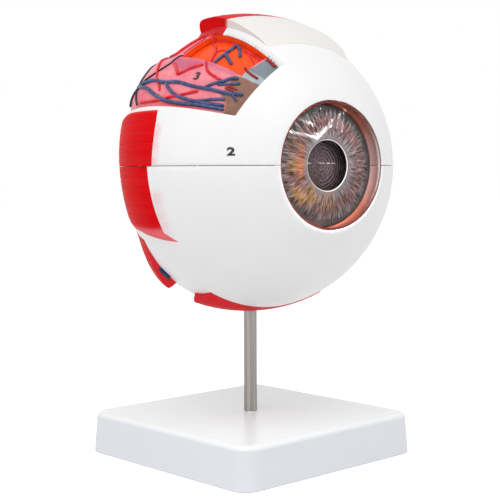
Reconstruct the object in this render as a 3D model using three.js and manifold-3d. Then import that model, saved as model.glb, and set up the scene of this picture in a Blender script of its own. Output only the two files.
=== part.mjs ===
// Model of the human eye at six times life size, on a rod and a square base.
// The globe looks along -Y and parts on a level seam. Millimetres, +Z up.
// The origin is on the rod's axis, at the underside of the base.
import * as THREE from 'three';
import { mergeVertices } from 'three/addons/utils/BufferGeometryUtils.js';
import Module from 'manifold-3d';

const wasm = await Module();
wasm.setup();

const { PI, sin, cos, sqrt, hypot, max, min } = Math;
const radians = THREE.MathUtils.degToRad;
const degrees = THREE.MathUtils.radToDeg;
const smoothstep = THREE.MathUtils.smoothstep;

// Fits
const fit = 0.3; // between pieces that rest on each other
const seamGap = 0.3; // between the two halves
const runningGap = 0.08; // between the rod and its bush
const pinGap = 0.15;
const overcut = 1; // how far a cut runs past the face that it starts from

// Globe: its outer surface, centre and walls
const globeHeight = 147.3; // centre above the underside of the base
const globeForward = 5; // centre in front of the rod
const globeRadius = 72; // across the line of sight
const frontReach = 66; // centre to front pole
const backReach = 68; // centre to back pole
const scleraWall = 2.6;
const choroidWall = 2.6;
const retinaWall = 1.8;
const leadIn = 0.6; // chamfer where an inner shell starts inside an outer one
const sideFlat = 4.2; // depth of the flat under the lateral rectus
const sideFlatCentre = -10; // degrees round the line of sight
const sideFlatSpread = 58;
const sideFlatStart = 68; // degrees from the front pole
const sideFlatFull = 122;
const sideFlatGone = 160;
const limbusRise = 1.5; // swell of the white round the front opening
const limbusStart = 42;
const limbusEnd = 27;

// Front opening and what sits in it
const openingRadius = 30.3;
const collarWall = 1.1;
const collarSetback = 1; // collar's lip behind the edge of the white
const irisSetback = 6.5; // iris rim behind the same edge
const irisDoming = 2.8;
const irisThickness = 1.6;
const pupilRadius = 11.8;
const pupilBevel = 0.8;
const ledgeReach = 2.4; // how far the seat of the iris stands inwards
const ledgeThickness = 1.9;
const corneaCurve = 44;
const corneaThickness = 1.5;
const corneaRimHeight = 1;

// Lens, its ring and the clear body
const lensRadius = 27;
const lensFrontCurve = 60;
const lensBackCurve = 36;
const lensRim = 1.6;
const ciliaryDepth = 7;
const foldCount = 30;
const foldHeight = 2.2;

// Windows, in degrees: from the front pole, and round the line of sight
const windowFront = 47;
const windowFrontBow = 3.2; // how far the front edge is drawn towards the front opening
const windowBack = 131;
const windowSillFront = 26.8;
const windowSillLow = [64, 22.4]; // where the sill is drawn down to between its ends
const windowSillBack = 23.2;
const windowTop = 70.5;
const windowBackTop = 88; // behind the superior rectus the window reaches higher
const windowKnee = [120, 60]; // corner of the back edge
const sillRelief = 3.5; // how far the sill is undercut, so that the half lifts off past the vessels
const topRelief = 3; // how far the upper wall leans in
const retinaWindowFront = 54.5;
const retinaWindowBack = 87.5;
const retinaWindowSill = 49;

// Muscles; angles in degrees from the front pole, thicknesses over a feathered edge
const muscleEdge = 0.3;
const rectusAngle = 26.5; // half the width of a rectus, seen from the centre
const rectusEnd = 134;
const superiorEnd = 101.5;
const inferiorEnd = 91.5;
const rectusTaper = 0.8; // width at the cut end, as a share of the width in front
const muscleBevel = 4;
const cutBevel = 1.5;
const sideThickness = 1;
const sideFeather = 8;
const lateralFrontUpper = 77.5;
const lateralFrontLower = 80.8;
const lateralUpperAngle = 21.3;
const medialFront = 74;
const superiorFront = 56;
const superiorThickness = 4.2;
const superiorRise = 50; // length over which it thickens
const superiorEndSlope = 5; // length of its slanted end
const superiorEdgeRise = 2; // how far its sides stand off the globe
const inferiorFront = 78.5;
const inferiorAngle = 30;
const inferiorThickness = 0.9;
const inferiorRise = 14;
const inferiorEdgeRise = 3.3;
const obliqueAngle = 11.5;
const inferiorObliqueEnds = [[110, -31], [110, -57]];
const inferiorObliqueThickness = 4.3;
const superiorObliqueEnds = [[108, 123], [108, 147]];
const superiorObliqueThickness = 3;

// Optic nerve
const nerveTilt = 16; // degrees towards the nose
const nerveRadius = 10;
const nerveFlare = 2.5;
const nerveSheathWall = 2;
const nerveCoreSetback = 1.2;

// Vessels
const veinRadius = 0.95;
const thinVeinRadius = 0.6;
const arteryRadius = 0.7;

// Rod and its bush
const rodRadius = 3.35;
const threadRadius = 3;
const bushRadius = 6;
const bushFlangeRadius = 9;
const bushFlangeThickness = 1.9;
const barrelRadius = 5.2;
const barrelHeight = 14; // over the underside of the globe
const boreRoof = 1.4;

// Base
const baseSide = 120;
const baseHeight = 21;
const baseDraft = 1;
const baseCorner = 9;
const baseEdge = 3;
const baseWall = 2.6;
const baseTop = 3;
const baseTurn = 7.65; // degrees between the base and the line of sight, as it stands
const footRimWidth = 0.5; // raised lip round the foot of the rod
const footRimHeight = 0.5;
const bossRadius = 11;
const bossBottom = 9;
const ribThickness = 2;
const ribDepth = 8;
const washerRadius = 7.5;
const washerThickness = 1.2;
const nutWidth = 10;
const nutHeight = 4;
const threadEnd = 0.4; // below the nut
const plateThickness = 2.2;
const plateStep = 1; // width of the step that the plate rests against
const screwInset = 14;
const screwPostRadius = 4;
const screwRadius = 1.5;
const screwHeadRadius = 3;
const screwHeadHeight = 1.4;
const screwLength = 10;
const screwFoot = 0.2; // head below the plate's face

// Dowels in the seam
const pinRadius = 0.65;
const pinLength = 5.4;
const pinAngles = [58, 106]; // degrees from the front pole, on both sides

// Roundness
const aroundGlobe = 24;
const alongGlobe = 15;
const aroundSmall = 16;
const aroundScrew = 10;
const aroundPin = 8;
const aroundVessel = 6;
const strapStep = 9.5; // millimetres between the rows of a strap
const vesselStep = 8; // millimetres between the rings of a vessel
const panelSteps = 6;
const capSteps = 4;
const cornerSteps = 4;
const edgeSteps = 3;
const edgeRow = 0.3; // place of the middle row of a strap's bevel, as a share of its width

const colours = {
  white: { color: 0xf4f4f2, roughness: 0.35, metalness: 0 },
  base: { color: 0xeef0f4, roughness: 0.3, metalness: 0 },
  steel: { color: 0x9c9894, roughness: 0.35, metalness: 1 },
  brass: { color: 0xb59a5a, roughness: 0.4, metalness: 1 },
  muscle: { color: 0xd01216, roughness: 0.35, metalness: 0 },
  choroid: { color: 0xe0707c, roughness: 0.4, metalness: 0 },
  retina: { color: 0xf0581c, roughness: 0.4, metalness: 0 },
  ciliary: { color: 0x4a2c26, roughness: 0.5, metalness: 0 },
  vein: { color: 0x2b3c66, roughness: 0.35, metalness: 0 },
  artery: { color: 0xd81f2a, roughness: 0.35, metalness: 0 },
  iris: { color: 0x6e5247, roughness: 0.4, metalness: 0 },
  clear: { color: 0xf2f6f8, roughness: 0.05, metalness: 0, transparent: true, opacity: 0.35 },
  lens: { color: 0xe6dfd0, roughness: 0.1, metalness: 0, transparent: true, opacity: 0.5 },
  nerve: { color: 0xe9dcae, roughness: 0.5, metalness: 0 },
};

const model = new THREE.Group();
const globe = new THREE.Group();
globe.position.set(0, -globeForward, globeHeight);
const stand = new THREE.Group();
stand.rotation.z = radians(baseTurn);
model.add(stand, globe);

function place(group, name, geometry, colour) {
  const mesh = new THREE.Mesh(geometry, new THREE.MeshStandardMaterial(colours[colour]));
  mesh.name = name;
  group.add(mesh);
}

// Closed meshes and solids

// One shared vertex for each corner, and no face without an area.
function weld(geometry) {
  const bare = geometry.clone();
  bare.deleteAttribute('normal');
  bare.deleteAttribute('uv');
  const merged = mergeVertices(bare, 1e-4);
  const index = merged.index.array;
  const kept = [];
  for (let i = 0; i < index.length; i += 3) {
    const [a, b, c] = [index[i], index[i + 1], index[i + 2]];
    if (a !== b && b !== c && c !== a) kept.push(a, b, c);
  }
  merged.setIndex(kept);
  return merged;
}

function signedVolume(geometry) {
  const position = geometry.attributes.position;
  const index = geometry.index.array;
  const [a, b, c] = [new THREE.Vector3(), new THREE.Vector3(), new THREE.Vector3()];
  let total = 0;
  for (let i = 0; i < index.length; i += 3) {
    a.fromBufferAttribute(position, index[i]);
    b.fromBufferAttribute(position, index[i + 1]);
    c.fromBufferAttribute(position, index[i + 2]);
    total += a.dot(b.cross(c)) / 6;
  }
  return total;
}

// A welded mesh whose faces point out.
function closed(geometry) {
  const welded = weld(geometry);
  if (signedVolume(welded) < 0) welded.index.array.reverse();
  return welded;
}

function solid(geometry) {
  const mesh = closed(geometry);
  return new wasm.Manifold(new wasm.Mesh({
    numProp: 3,
    vertProperties: Float32Array.from(mesh.attributes.position.array),
    triVerts: Uint32Array.from(mesh.index.array),
  }));
}

function surface(body) {
  const mesh = body.getMesh();
  const geometry = new THREE.BufferGeometry();
  const corners = Float32Array.from(mesh.vertProperties);
  geometry.setAttribute('position', new THREE.BufferAttribute(corners, 3));
  geometry.setIndex([...mesh.triVerts]);
  return geometry;
}

// Half of a body, above or below the seam, which is the plane z = 0 of the globe.
function half(body, side) {
  const reach = 3 * globeRadius;
  const block = new THREE.BoxGeometry(2 * reach, 2 * reach, reach);
  block.translate(0, 0, side * (reach / 2 + seamGap / 2));
  return body.intersect(solid(block));
}

// The globe's surface

// Unit vector from angles: from the front pole, and round the line of sight from -X up.
function direction(fromFront, around) {
  const [t, p] = [radians(fromFront), radians(around)];
  return new THREE.Vector3(-sin(t) * cos(p), -cos(t), sin(t) * sin(p));
}

function anglesOf(unit) {
  const fromFront = degrees(Math.acos(THREE.MathUtils.clamp(-unit.y, -1, 1)));
  return [fromFront, degrees(Math.atan2(unit.z, -unit.x))];
}

// How far the cast is flattened along a direction.
function flatDepth(unit) {
  const [fromFront, around] = anglesOf(unit);
  const across = THREE.MathUtils.clamp((around - sideFlatCentre) / sideFlatSpread, -1, 1);
  const rise = smoothstep(fromFront, sideFlatStart, sideFlatFull);
  const fade = 1 - smoothstep(fromFront, sideFlatFull, sideFlatGone);
  return sideFlat * cos(across * PI / 2) ** 2 * rise * fade;
}

// Distance from the centre to the outside of the white, before it is flattened.
function plainRadius(fromFront) {
  const reach = fromFront < 90 ? frontReach : backReach;
  const round = 1 / hypot(cos(radians(fromFront)) / reach, sin(radians(fromFront)) / globeRadius);
  return round + limbusRise * (1 - smoothstep(fromFront, limbusEnd, limbusStart));
}

// A point at a height above the outside of the white, along a direction.
function onGlobe(unit, lift) {
  const [fromFront] = anglesOf(unit);
  return unit.clone().multiplyScalar(plainRadius(fromFront) - flatDepth(unit) + lift);
}

// Angle from the front pole at which a shell reaches a given distance from the line of sight.
function angleAtDistance(distance, lift) {
  let [low, high] = [0, 90];
  while (high - low > 1e-6) {
    const middle = (low + high) / 2;
    if ((plainRadius(middle) + lift) * sin(radians(middle)) < distance) low = middle;
    else high = middle;
  }
  return low;
}

// How far forward of the centre that shell is there.
function reachAtDistance(distance, lift) {
  const angle = angleAtDistance(distance, lift);
  return (plainRadius(angle) + lift) * cos(radians(angle));
}

// Angle from the front pole at which a shell is a given way forward of the centre.
function angleAtReach(reach, lift) {
  let [low, high] = [0, 90];
  while (high - low > 1e-6) {
    const middle = (low + high) / 2;
    if ((plainRadius(middle) + lift) * cos(radians(middle)) > reach) low = middle;
    else high = middle;
  }
  return low;
}

// How far from the line of sight that shell is there.
function distanceAtReach(reach, lift) {
  const angle = angleAtReach(reach, lift);
  return (plainRadius(angle) + lift) * sin(radians(angle));
}

// Profile points along a shell, between two angles. Nested shells share the angles in between.
function shellArc(lift, from, to) {
  const angles = Array.from({ length: alongGlobe }, (_, i) => 180 * (i + 0.5) / alongGlobe)
    .filter((angle) => angle > min(from, to) + 1 && angle < max(from, to) - 1);
  if (from > to) angles.reverse();
  return [from, ...angles, to].map((angle) => {
    const reach = plainRadius(angle) + lift;
    return [max(0, reach * sin(radians(angle))), reach * cos(radians(angle))];
  });
}

// A turned body of the globe, from a profile of [distance from the line of sight, reach forward].
function turned(profile, segments) {
  const points = profile.map(([distance, reach]) => new THREE.Vector2(distance, -reach));
  points.push(points[0].clone());
  return new THREE.LatheGeometry(points, segments);
}

// Every vertex drawn in by the flat on the globe's side.
function flattened(geometry) {
  const position = geometry.attributes.position;
  const point = new THREE.Vector3();
  for (let i = 0; i < position.count; i += 1) {
    point.fromBufferAttribute(position, i);
    const length = point.length();
    const unit = point.clone().divideScalar(length);
    unit.multiplyScalar(length - flatDepth(unit));
    position.setXYZ(i, unit.x, unit.y, unit.z);
  }
  return geometry;
}

// Heights of the shells over the outside of the white
const scleraInside = -scleraWall;
const choroidOutside = scleraInside - fit;
const choroidInside = choroidOutside - choroidWall;
const retinaOutside = choroidInside - fit;
const retinaInside = retinaOutside - retinaWall;
const clearBodyOutside = retinaInside - fit;

// Places along the line of sight, forward of the centre
const openingPlane = reachAtDistance(openingRadius, 0);
const collarFront = openingPlane - collarSetback;
const collarOutside = openingRadius - fit;
const collarInside = collarOutside - collarWall;
const irisRim = openingPlane - irisSetback;
const ledgeFront = irisRim - irisThickness - fit;
const ledgeBack = ledgeFront - ledgeThickness;
const pupilFront = irisRim + irisDoming;
const irisOutside = collarInside - fit;
const corneaSeat = collarFront + fit;
const corneaApex = corneaSeat + corneaRimHeight + corneaCurve - sqrt(corneaCurve ** 2 - collarOutside ** 2);
const lensFront = ledgeFront; // behind the rim of the iris, so that the lens lifts out past it
const lensEdge = lensFront - (lensFrontCurve - sqrt(lensFrontCurve ** 2 - lensRadius ** 2));
const lensBack = lensEdge - lensRim - (lensBackCurve - sqrt(lensBackCurve ** 2 - lensRadius ** 2));
const ciliaryFront = ledgeBack - fit;
const ciliaryBack = ciliaryFront - ciliaryDepth;
const ciliaryInside = lensRadius + fit;
const ciliaryOutside = distanceAtReach(ciliaryFront, choroidInside) - fit;

// Adds a straight side to an outline, in steps that follow the globe once it is put there.
function side(outline, x, y) {
  const from = outline.currentPoint;
  outline.quadraticCurveTo((from.x + x) / 2, (from.y + y) / 2, x, y);
}

function outlinePoints(outline) {
  const points = outline.getPoints(panelSteps);
  points.pop();
  return THREE.ShapeUtils.isClockWise(points) ? points.reverse() : points;
}

// A prism through the wall of the globe, over an outline that may change with height.
function radialPrism(outlineAt, levels) {
  const rings = levels.map((lift) => outlineAt(lift).map((p) => onGlobe(direction(p.x, p.y), lift)));
  const count = rings[0].length;
  const last = (rings.length - 1) * count;
  const index = [];
  for (const [a, b, c] of THREE.ShapeUtils.triangulateShape(outlineAt(0), [])) {
    index.push(a, c, b, a + last, b + last, c + last);
  }
  for (let i = 0; i < last; i += 1) {
    const next = i % count === count - 1 ? i + 1 - count : i + 1;
    index.push(i, next, next + count, i, next + count, i + count);
  }
  const geometry = new THREE.BufferGeometry().setFromPoints(rings.flat());
  geometry.setIndex(index);
  return geometry;
}

// The window in the white, in degrees: its sill is undercut towards the inside and its upper wall
// leans in. It reaches higher behind the superior rectus.
function windowOutline(lift) {
  const depth = THREE.MathUtils.clamp(-lift / scleraWall, 0, 1);
  const relief = sillRelief * depth;
  const top = windowTop - topRelief * depth;
  const sillFront = windowSillFront - relief;
  const sillBack = windowSillBack - relief;
  const outline = new THREE.Shape();
  outline.moveTo(windowBack, sillBack);
  outline.quadraticCurveTo(windowSillLow[0], windowSillLow[1] - relief, windowFront, sillFront);
  outline.quadraticCurveTo(windowFront - windowFrontBow, (sillFront + top) / 2, windowFront, top);
  side(outline, superiorEnd, top);
  side(outline, superiorEnd, windowBackTop);
  side(outline, ...windowKnee);
  side(outline, windowBack, sillBack);
  return outlinePoints(outline);
}

function retinaWindowOutline() {
  const outline = new THREE.Shape();
  outline.moveTo(retinaWindowBack, retinaWindowSill);
  side(outline, retinaWindowFront, retinaWindowSill);
  side(outline, retinaWindowFront, windowTop);
  side(outline, retinaWindowBack, windowTop);
  side(outline, retinaWindowBack, retinaWindowSill);
  return outlinePoints(outline);
}

const toolLow = -3 * scleraWall - choroidWall;
const toolHigh = 3 * globeRadius / 4;
const windowTool = solid(radialPrism(windowOutline, [toolLow, -scleraWall, 0, toolHigh]));
const retinaWindowTool = solid(radialPrism(retinaWindowOutline, [toolLow, toolHigh]));

// White of the eye, in two halves

// A turned piece that stands along Z, from a profile of [radius, height].
function uprightTurned(profile, segments = aroundSmall) {
  const points = profile.map(([radius, height]) => new THREE.Vector2(radius, height));
  points.push(points[0].clone());
  return new THREE.LatheGeometry(points, segments).rotateX(PI / 2);
}

function upright(radius, from, to, segments = aroundSmall) {
  return uprightTurned([[0, from], [radius, from], [radius, to], [0, to]], segments);
}

// A dowel or its hole, upright in the middle of the wall.
function dowel([fromFront, around], radius, length) {
  const middle = onGlobe(direction(fromFront, around), -scleraWall / 2);
  return upright(radius, -length / 2, length / 2, aroundPin).translate(middle.x, middle.y, 0);
}

const dowelPlaces = pinAngles.flatMap((angle) => [[angle, 0], [angle, 180]]);

function withDowelHoles(body) {
  return dowelPlaces.reduce((rest, where) => (
    rest.subtract(solid(dowel(where, pinRadius + pinGap, pinLength + 2 * pinGap)))
  ), body);
}

// Underside of the globe in the plane of the nerve, at a way behind the centre.
function undersideAt(y) {
  return -globeRadius * sqrt(1 - (y / backReach) ** 2);
}

// A round hole or piece on the axis of the rod, in the globe's frame.
function atRod(radius, from, to) {
  return solid(upright(radius, from, to).translate(0, globeForward, 0));
}

const underside = undersideAt(globeForward);
const bushFoot = undersideAt(globeForward + bushRadius);
const flangeBottom = underside + scleraWall + fit;
const flangeTop = flangeBottom + bushFlangeThickness;
const barrelTop = underside + barrelHeight;
const rodTop = barrelTop - boreRoof - fit;

const scleraShell = solid(flattened(turned([
  ...shellArc(0, angleAtDistance(openingRadius, 0), 180),
  ...shellArc(scleraInside, 180, angleAtDistance(openingRadius, scleraInside)),
], aroundGlobe)));
const bushHole = atRod(bushRadius + fit, 2 * underside, 0);
const bushSeat = atRod(bushFlangeRadius + fit, flangeBottom - fit, 0);
const scleraUpper = withDowelHoles(half(scleraShell, 1)).subtract(windowTool);
const scleraLower = withDowelHoles(half(scleraShell, -1)).subtract(bushHole).subtract(bushSeat);
place(globe, 'sclera_upper', surface(scleraUpper), 'white');
place(globe, 'sclera_lower', surface(scleraLower), 'white');
dowelPlaces.forEach((where, i) => {
  place(globe, `locating_pin_${i + 1}`, closed(dowel(where, pinRadius, pinLength)), 'steel');
});

place(globe, 'rod_bush', closed(uprightTurned([
  [0, barrelTop],
  [barrelRadius, barrelTop],
  [barrelRadius, flangeTop],
  [bushFlangeRadius, flangeTop],
  [bushFlangeRadius, flangeBottom],
  [bushRadius, flangeBottom],
  [bushRadius, bushFoot],
  [rodRadius + runningGap, bushFoot],
  [rodRadius + runningGap, barrelTop - boreRoof],
  [0, barrelTop - boreRoof],
]).translate(0, globeForward, 0)), 'brass');

// Choroid and retina, in two halves, with the collar and the seat of the iris

const choroidShell = solid(flattened(turned([
  [collarOutside, collarFront],
  ...shellArc(choroidOutside, angleAtDistance(collarOutside, choroidOutside), 180),
  ...shellArc(choroidInside, 180, angleAtReach(ledgeBack, choroidInside)),
  [collarInside - ledgeReach, ledgeBack],
  [collarInside - ledgeReach, ledgeFront],
  [collarInside, ledgeFront],
  [collarInside, collarFront],
], aroundGlobe)));
const retinaFront = ciliaryBack - fit;
const retinaShell = solid(flattened(turned([
  [distanceAtReach(retinaFront, retinaOutside) - leadIn, retinaFront],
  ...shellArc(retinaOutside, angleAtReach(retinaFront - leadIn, retinaOutside), 180).slice(1),
  ...shellArc(retinaInside, 180, angleAtReach(retinaFront, retinaInside)),
], aroundGlobe)));
const flangeHole = atRod(bushFlangeRadius + fit, 2 * underside, 0);
const barrelHole = atRod(barrelRadius + fit, 2 * underside, barrelTop + fit);
const choroidCut = windowTool.intersect(retinaWindowTool);
place(globe, 'choroid_upper', surface(half(choroidShell, 1).subtract(choroidCut)), 'choroid');
place(globe, 'choroid_lower', surface(half(choroidShell, -1).subtract(flangeHole)), 'choroid');
place(globe, 'retina_upper', surface(half(retinaShell, 1)), 'retina');
place(globe, 'retina_lower', surface(half(retinaShell, -1).subtract(barrelHole)), 'retina');

// Iris, cornea, lens, the folded ring round the lens, and the clear body

// Height of the iris at a distance from the line of sight, over its rim.
function irisHeight(distance) {
  const share = (distance - pupilRadius) / (irisOutside - pupilRadius);
  return irisDoming * (1 - share ** 2);
}

const irisFace = [0, 0.35, 0.7, 1].map((share) => {
  const distance = pupilRadius + pupilBevel + share * (irisOutside - pupilRadius - pupilBevel);
  return [distance, irisRim + irisHeight(distance)];
});
const irisBack = irisFace.toReversed().map(([distance, reach]) => [distance, reach - irisThickness]);
place(globe, 'iris', closed(turned([
  [pupilRadius, pupilFront - pupilBevel],
  ...irisFace,
  ...irisBack,
  [pupilRadius, pupilFront - irisThickness],
], aroundGlobe)), 'iris');

// Points of a cap of a sphere, from the line of sight out to a rim, bulging forward or back.
function cap(curve, rim, apex, bulge) {
  return Array.from({ length: capSteps + 1 }, (_, i) => {
    const distance = rim * i / capSteps;
    return [distance, apex - bulge * (curve - sqrt(curve ** 2 - distance ** 2))];
  });
}

const corneaInside = collarOutside - corneaThickness;
place(globe, 'cornea', closed(turned([
  ...cap(corneaCurve, collarOutside, corneaApex, 1),
  [collarOutside, corneaSeat],
  [corneaInside, corneaSeat],
  ...cap(corneaCurve - corneaThickness, corneaInside, corneaApex - corneaThickness, 1).toReversed(),
], aroundGlobe)), 'clear');

place(globe, 'lens', closed(turned([
  ...cap(lensFrontCurve, lensRadius, lensFront, 1),
  ...cap(lensBackCurve, lensRadius, lensBack, -1).toReversed(),
], aroundGlobe)), 'lens');

// The ring's inner side is gathered into folds that stand towards the lens.
function ciliaryRing() {
  const ring = new THREE.Shape();
  ring.absarc(0, 0, ciliaryOutside, 0, 2 * PI);
  const folds = Array.from({ length: 2 * foldCount }, (_, i) => {
    const distance = ciliaryInside + (i % 2) * foldHeight;
    const angle = PI * (i + 0.5) / foldCount;
    return new THREE.Vector2(distance * cos(angle), distance * sin(angle));
  });
  ring.holes.push(new THREE.Path(folds));
  const body = new THREE.ExtrudeGeometry(ring, {
    depth: ciliaryDepth,
    curveSegments: aroundGlobe / 2,
    bevelEnabled: false,
  });
  return body.rotateX(PI / 2).translate(0, -ciliaryBack, 0);
}

const ciliary = solid(ciliaryRing());
place(globe, 'ciliary_ring_upper', surface(half(ciliary, 1)), 'ciliary');
place(globe, 'ciliary_ring_lower', surface(half(ciliary, -1)), 'ciliary');

const facetReach = lensBack - fit;
const clearBody = solid(flattened(turned([
  [0, facetReach],
  [distanceAtReach(facetReach, clearBodyOutside) - leadIn, facetReach],
  ...shellArc(clearBodyOutside, angleAtReach(facetReach - leadIn, clearBodyOutside), 180).slice(1),
], aroundGlobe)));
place(globe, 'vitreous_body', surface(clearBody.subtract(barrelHole)), 'clear');

// Muscles

// Offsets from 0 to a length, with extra rows where an edge is bevelled.
function rows(length, startEdge, endEdge) {
  const result = [];
  const inner = length - startEdge - endEdge;
  const count = max(1, Math.ceil(inner / strapStep));
  if (startEdge > 0) result.push(0, edgeRow * startEdge);
  for (let i = 0; i <= count; i += 1) result.push(startEdge + inner * i / count);
  if (endEdge > 0) result.push(length - edgeRow * endEdge, length);
  return result;
}

// A quarter round over a width, from 0 to 1.
function roundEdge(distance, width) {
  if (width === 0 || distance >= width) return 1;
  return sqrt(1 - (1 - distance / width) ** 2);
}

// A closed body between two grids of points.
function betweenGrids(top, bottom) {
  const [across, along] = [top[0].length, top.length];
  const points = [...top.flat(), ...bottom.flat()];
  const at = (layer, i, j) => layer * along * across + i * across + j;
  const index = [];
  const quad = (a, b, c, d) => index.push(a, b, c, a, c, d);
  for (let i = 0; i + 1 < along; i += 1) {
    for (let j = 0; j + 1 < across; j += 1) {
      quad(at(0, i, j), at(0, i + 1, j), at(0, i + 1, j + 1), at(0, i, j + 1));
      quad(at(1, i, j), at(1, i, j + 1), at(1, i + 1, j + 1), at(1, i + 1, j));
    }
    quad(at(0, i, 0), at(1, i, 0), at(1, i + 1, 0), at(0, i + 1, 0));
    const end = across - 1;
    quad(at(0, i + 1, end), at(1, i + 1, end), at(1, i, end), at(0, i, end));
  }
  for (let j = 0; j + 1 < across; j += 1) {
    quad(at(0, 0, j + 1), at(1, 0, j + 1), at(1, 0, j), at(0, 0, j));
    const end = along - 1;
    quad(at(0, end, j), at(1, end, j), at(1, end, j + 1), at(0, end, j + 1));
  }
  const geometry = new THREE.BufferGeometry().setFromPoints(points);
  geometry.setIndex(index);
  return geometry;
}

// A strap on the globe, along the great circle from one direction to another.
// Its sides are angles off that circle, and a side with no bevel is cut square.
function strap({
  from, to, sides, bevels, feather, thickness, rise, edgeRise = 0, taper = 1, endEdge = cutBevel,
}) {
  const axis = from.clone().cross(to).normalize();
  const length = from.angleTo(to) * globeRadius;
  const width = radians(sides[1] - sides[0]) * globeRadius;
  const widest = max(Math.abs(sides[0]), Math.abs(sides[1]));
  const topRows = [];
  const bottomRows = [];
  for (const s of rows(length, feather, endEdge)) {
    const along = from.clone().applyAxisAngle(axis, s / globeRadius);
    const share = 1 - (1 - taper) * smoothstep(s, length / 3, length);
    const belly = thickness * smoothstep(s, 0, rise);
    const start = smoothstep(s, 0, feather);
    const [top, bottom] = [[], []];
    for (const w of rows(width, bevels[0], bevels[1])) {
      const off = (sides[0] + degrees(w / globeRadius)) * share;
      const unit = along.clone().applyAxisAngle(along.clone().cross(axis), radians(off));
      const sideRim = roundEdge(w, bevels[0]) * roundEdge(width - w, bevels[1]);
      const rim = sideRim * roundEdge(length - s, endEdge);
      const height = (belly + edgeRise * start * (off / widest) ** 2) * rim;
      top.push(onGlobe(unit, fit + muscleEdge + height));
      bottom.push(onGlobe(unit, fit));
    }
    topRows.push(top);
    bottomRows.push(bottom);
  }
  return betweenGrids(topRows, bottomRows);
}

const seamAngle = degrees(seamGap / 2 / globeRadius);

// One half of the lateral or medial rectus, with its sides as angles off the seam.
function sideRectus(front, around, sides, bevels) {
  return closed(strap({
    from: direction(front, around),
    to: direction(rectusEnd, around),
    sides,
    bevels,
    feather: sideFeather,
    thickness: sideThickness,
    rise: sideFeather,
    taper: rectusTaper,
  }));
}

const [lateral, medial] = [0, 180];
place(globe, 'lateral_rectus_upper', sideRectus(
  lateralFrontUpper, lateral, [-lateralUpperAngle, -seamAngle], [muscleBevel / 2, 0],
), 'muscle');
place(globe, 'lateral_rectus_lower', sideRectus(
  lateralFrontLower, lateral, [seamAngle, rectusAngle], [0, muscleBevel],
), 'muscle');
place(globe, 'medial_rectus_upper', sideRectus(
  medialFront, medial, [seamAngle, rectusAngle], [0, muscleBevel],
), 'muscle');
place(globe, 'medial_rectus_lower', sideRectus(
  medialFront, medial, [-rectusAngle, -seamAngle], [muscleBevel, 0],
), 'muscle');

// The window takes off the outer side of the superior rectus.
const superiorRectus = solid(strap({
  from: direction(superiorFront, 90),
  to: direction(superiorEnd, 90),
  sides: [-rectusAngle, 90 - windowTop],
  bevels: [cutBevel, 0],
  feather: sideFeather,
  thickness: superiorThickness,
  rise: superiorRise,
  edgeRise: superiorEdgeRise,
  endEdge: superiorEndSlope,
})).subtract(windowTool);
place(globe, 'superior_rectus', surface(superiorRectus), 'muscle');

const rodPassage = atRod(rodRadius + 2 * fit, 2 * underside, 0);
const inferiorRectus = solid(strap({
  from: direction(inferiorFront, -90),
  to: direction(inferiorEnd, -90),
  sides: [-inferiorAngle, inferiorAngle],
  bevels: [cutBevel, cutBevel],
  feather: sideFeather,
  thickness: inferiorThickness,
  rise: inferiorRise,
  edgeRise: inferiorEdgeRise,
})).subtract(rodPassage);
place(globe, 'inferior_rectus', surface(inferiorRectus), 'muscle');

function oblique(ends, thickness) {
  const [from, to] = ends.map(([fromFront, around]) => direction(fromFront, around));
  return closed(strap({
    from,
    to,
    sides: [-obliqueAngle, obliqueAngle],
    bevels: [cutBevel, cutBevel],
    feather: cutBevel,
    thickness,
    rise: from.angleTo(to) * globeRadius,
  }));
}

place(globe, 'inferior_oblique', oblique(inferiorObliqueEnds, inferiorObliqueThickness), 'muscle');
place(globe, 'superior_oblique', oblique(superiorObliqueEnds, superiorObliqueThickness), 'muscle');

// Optic nerve: a stub that rests on the back of the globe, clear of the upper half as that lifts

const nerveWay = direction(180 - nerveTilt, medial);
const nerveRoot = backReach - nerveRadius;
const nerveReach = corneaApex + 2 * globeForward; // as far behind the rod as the cornea is in front
const nerveEnd = (nerveReach - nerveRadius * sin(radians(nerveTilt))) / cos(radians(nerveTilt));

function alongNerve(profile) {
  const turn = new THREE.Quaternion().setFromUnitVectors(new THREE.Vector3(0, 0, 1), nerveWay);
  return uprightTurned(profile).applyQuaternion(turn);
}

const globeHull = solid(flattened(turned(shellArc(fit, 0, 180), aroundGlobe)));
const liftWay = new THREE.CylinderGeometry(1, 1, 1, 2 * aroundGlobe).rotateX(PI / 2).translate(0, 0, 0.5);
liftWay.scale(globeRadius + 2 * fit, backReach + 2 * fit, globeRadius);
const nerveClearance = globeHull.add(solid(liftWay));
const nerveSheath = solid(alongNerve([
  [nerveRadius - nerveSheathWall, nerveRoot],
  [nerveRadius + nerveFlare, nerveRoot],
  [nerveRadius + nerveFlare, backReach],
  [nerveRadius + nerveFlare / 4, backReach + nerveFlare],
  [nerveRadius, backReach + 2 * nerveFlare],
  [nerveRadius, nerveEnd],
  [nerveRadius - nerveSheathWall, nerveEnd],
])).subtract(nerveClearance);
const nerveCore = solid(alongNerve([
  [0, nerveRoot],
  [nerveRadius - nerveSheathWall - fit, nerveRoot],
  [nerveRadius - nerveSheathWall - fit, nerveEnd - nerveCoreSetback],
  [0, nerveEnd - nerveCoreSetback],
])).subtract(nerveClearance);
place(globe, 'optic_nerve_sheath', surface(nerveSheath), 'nerve');
place(globe, 'optic_nerve_core', surface(nerveCore), 'nerve');

// Vessels: round wires that lie on the choroid or on the retina

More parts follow.
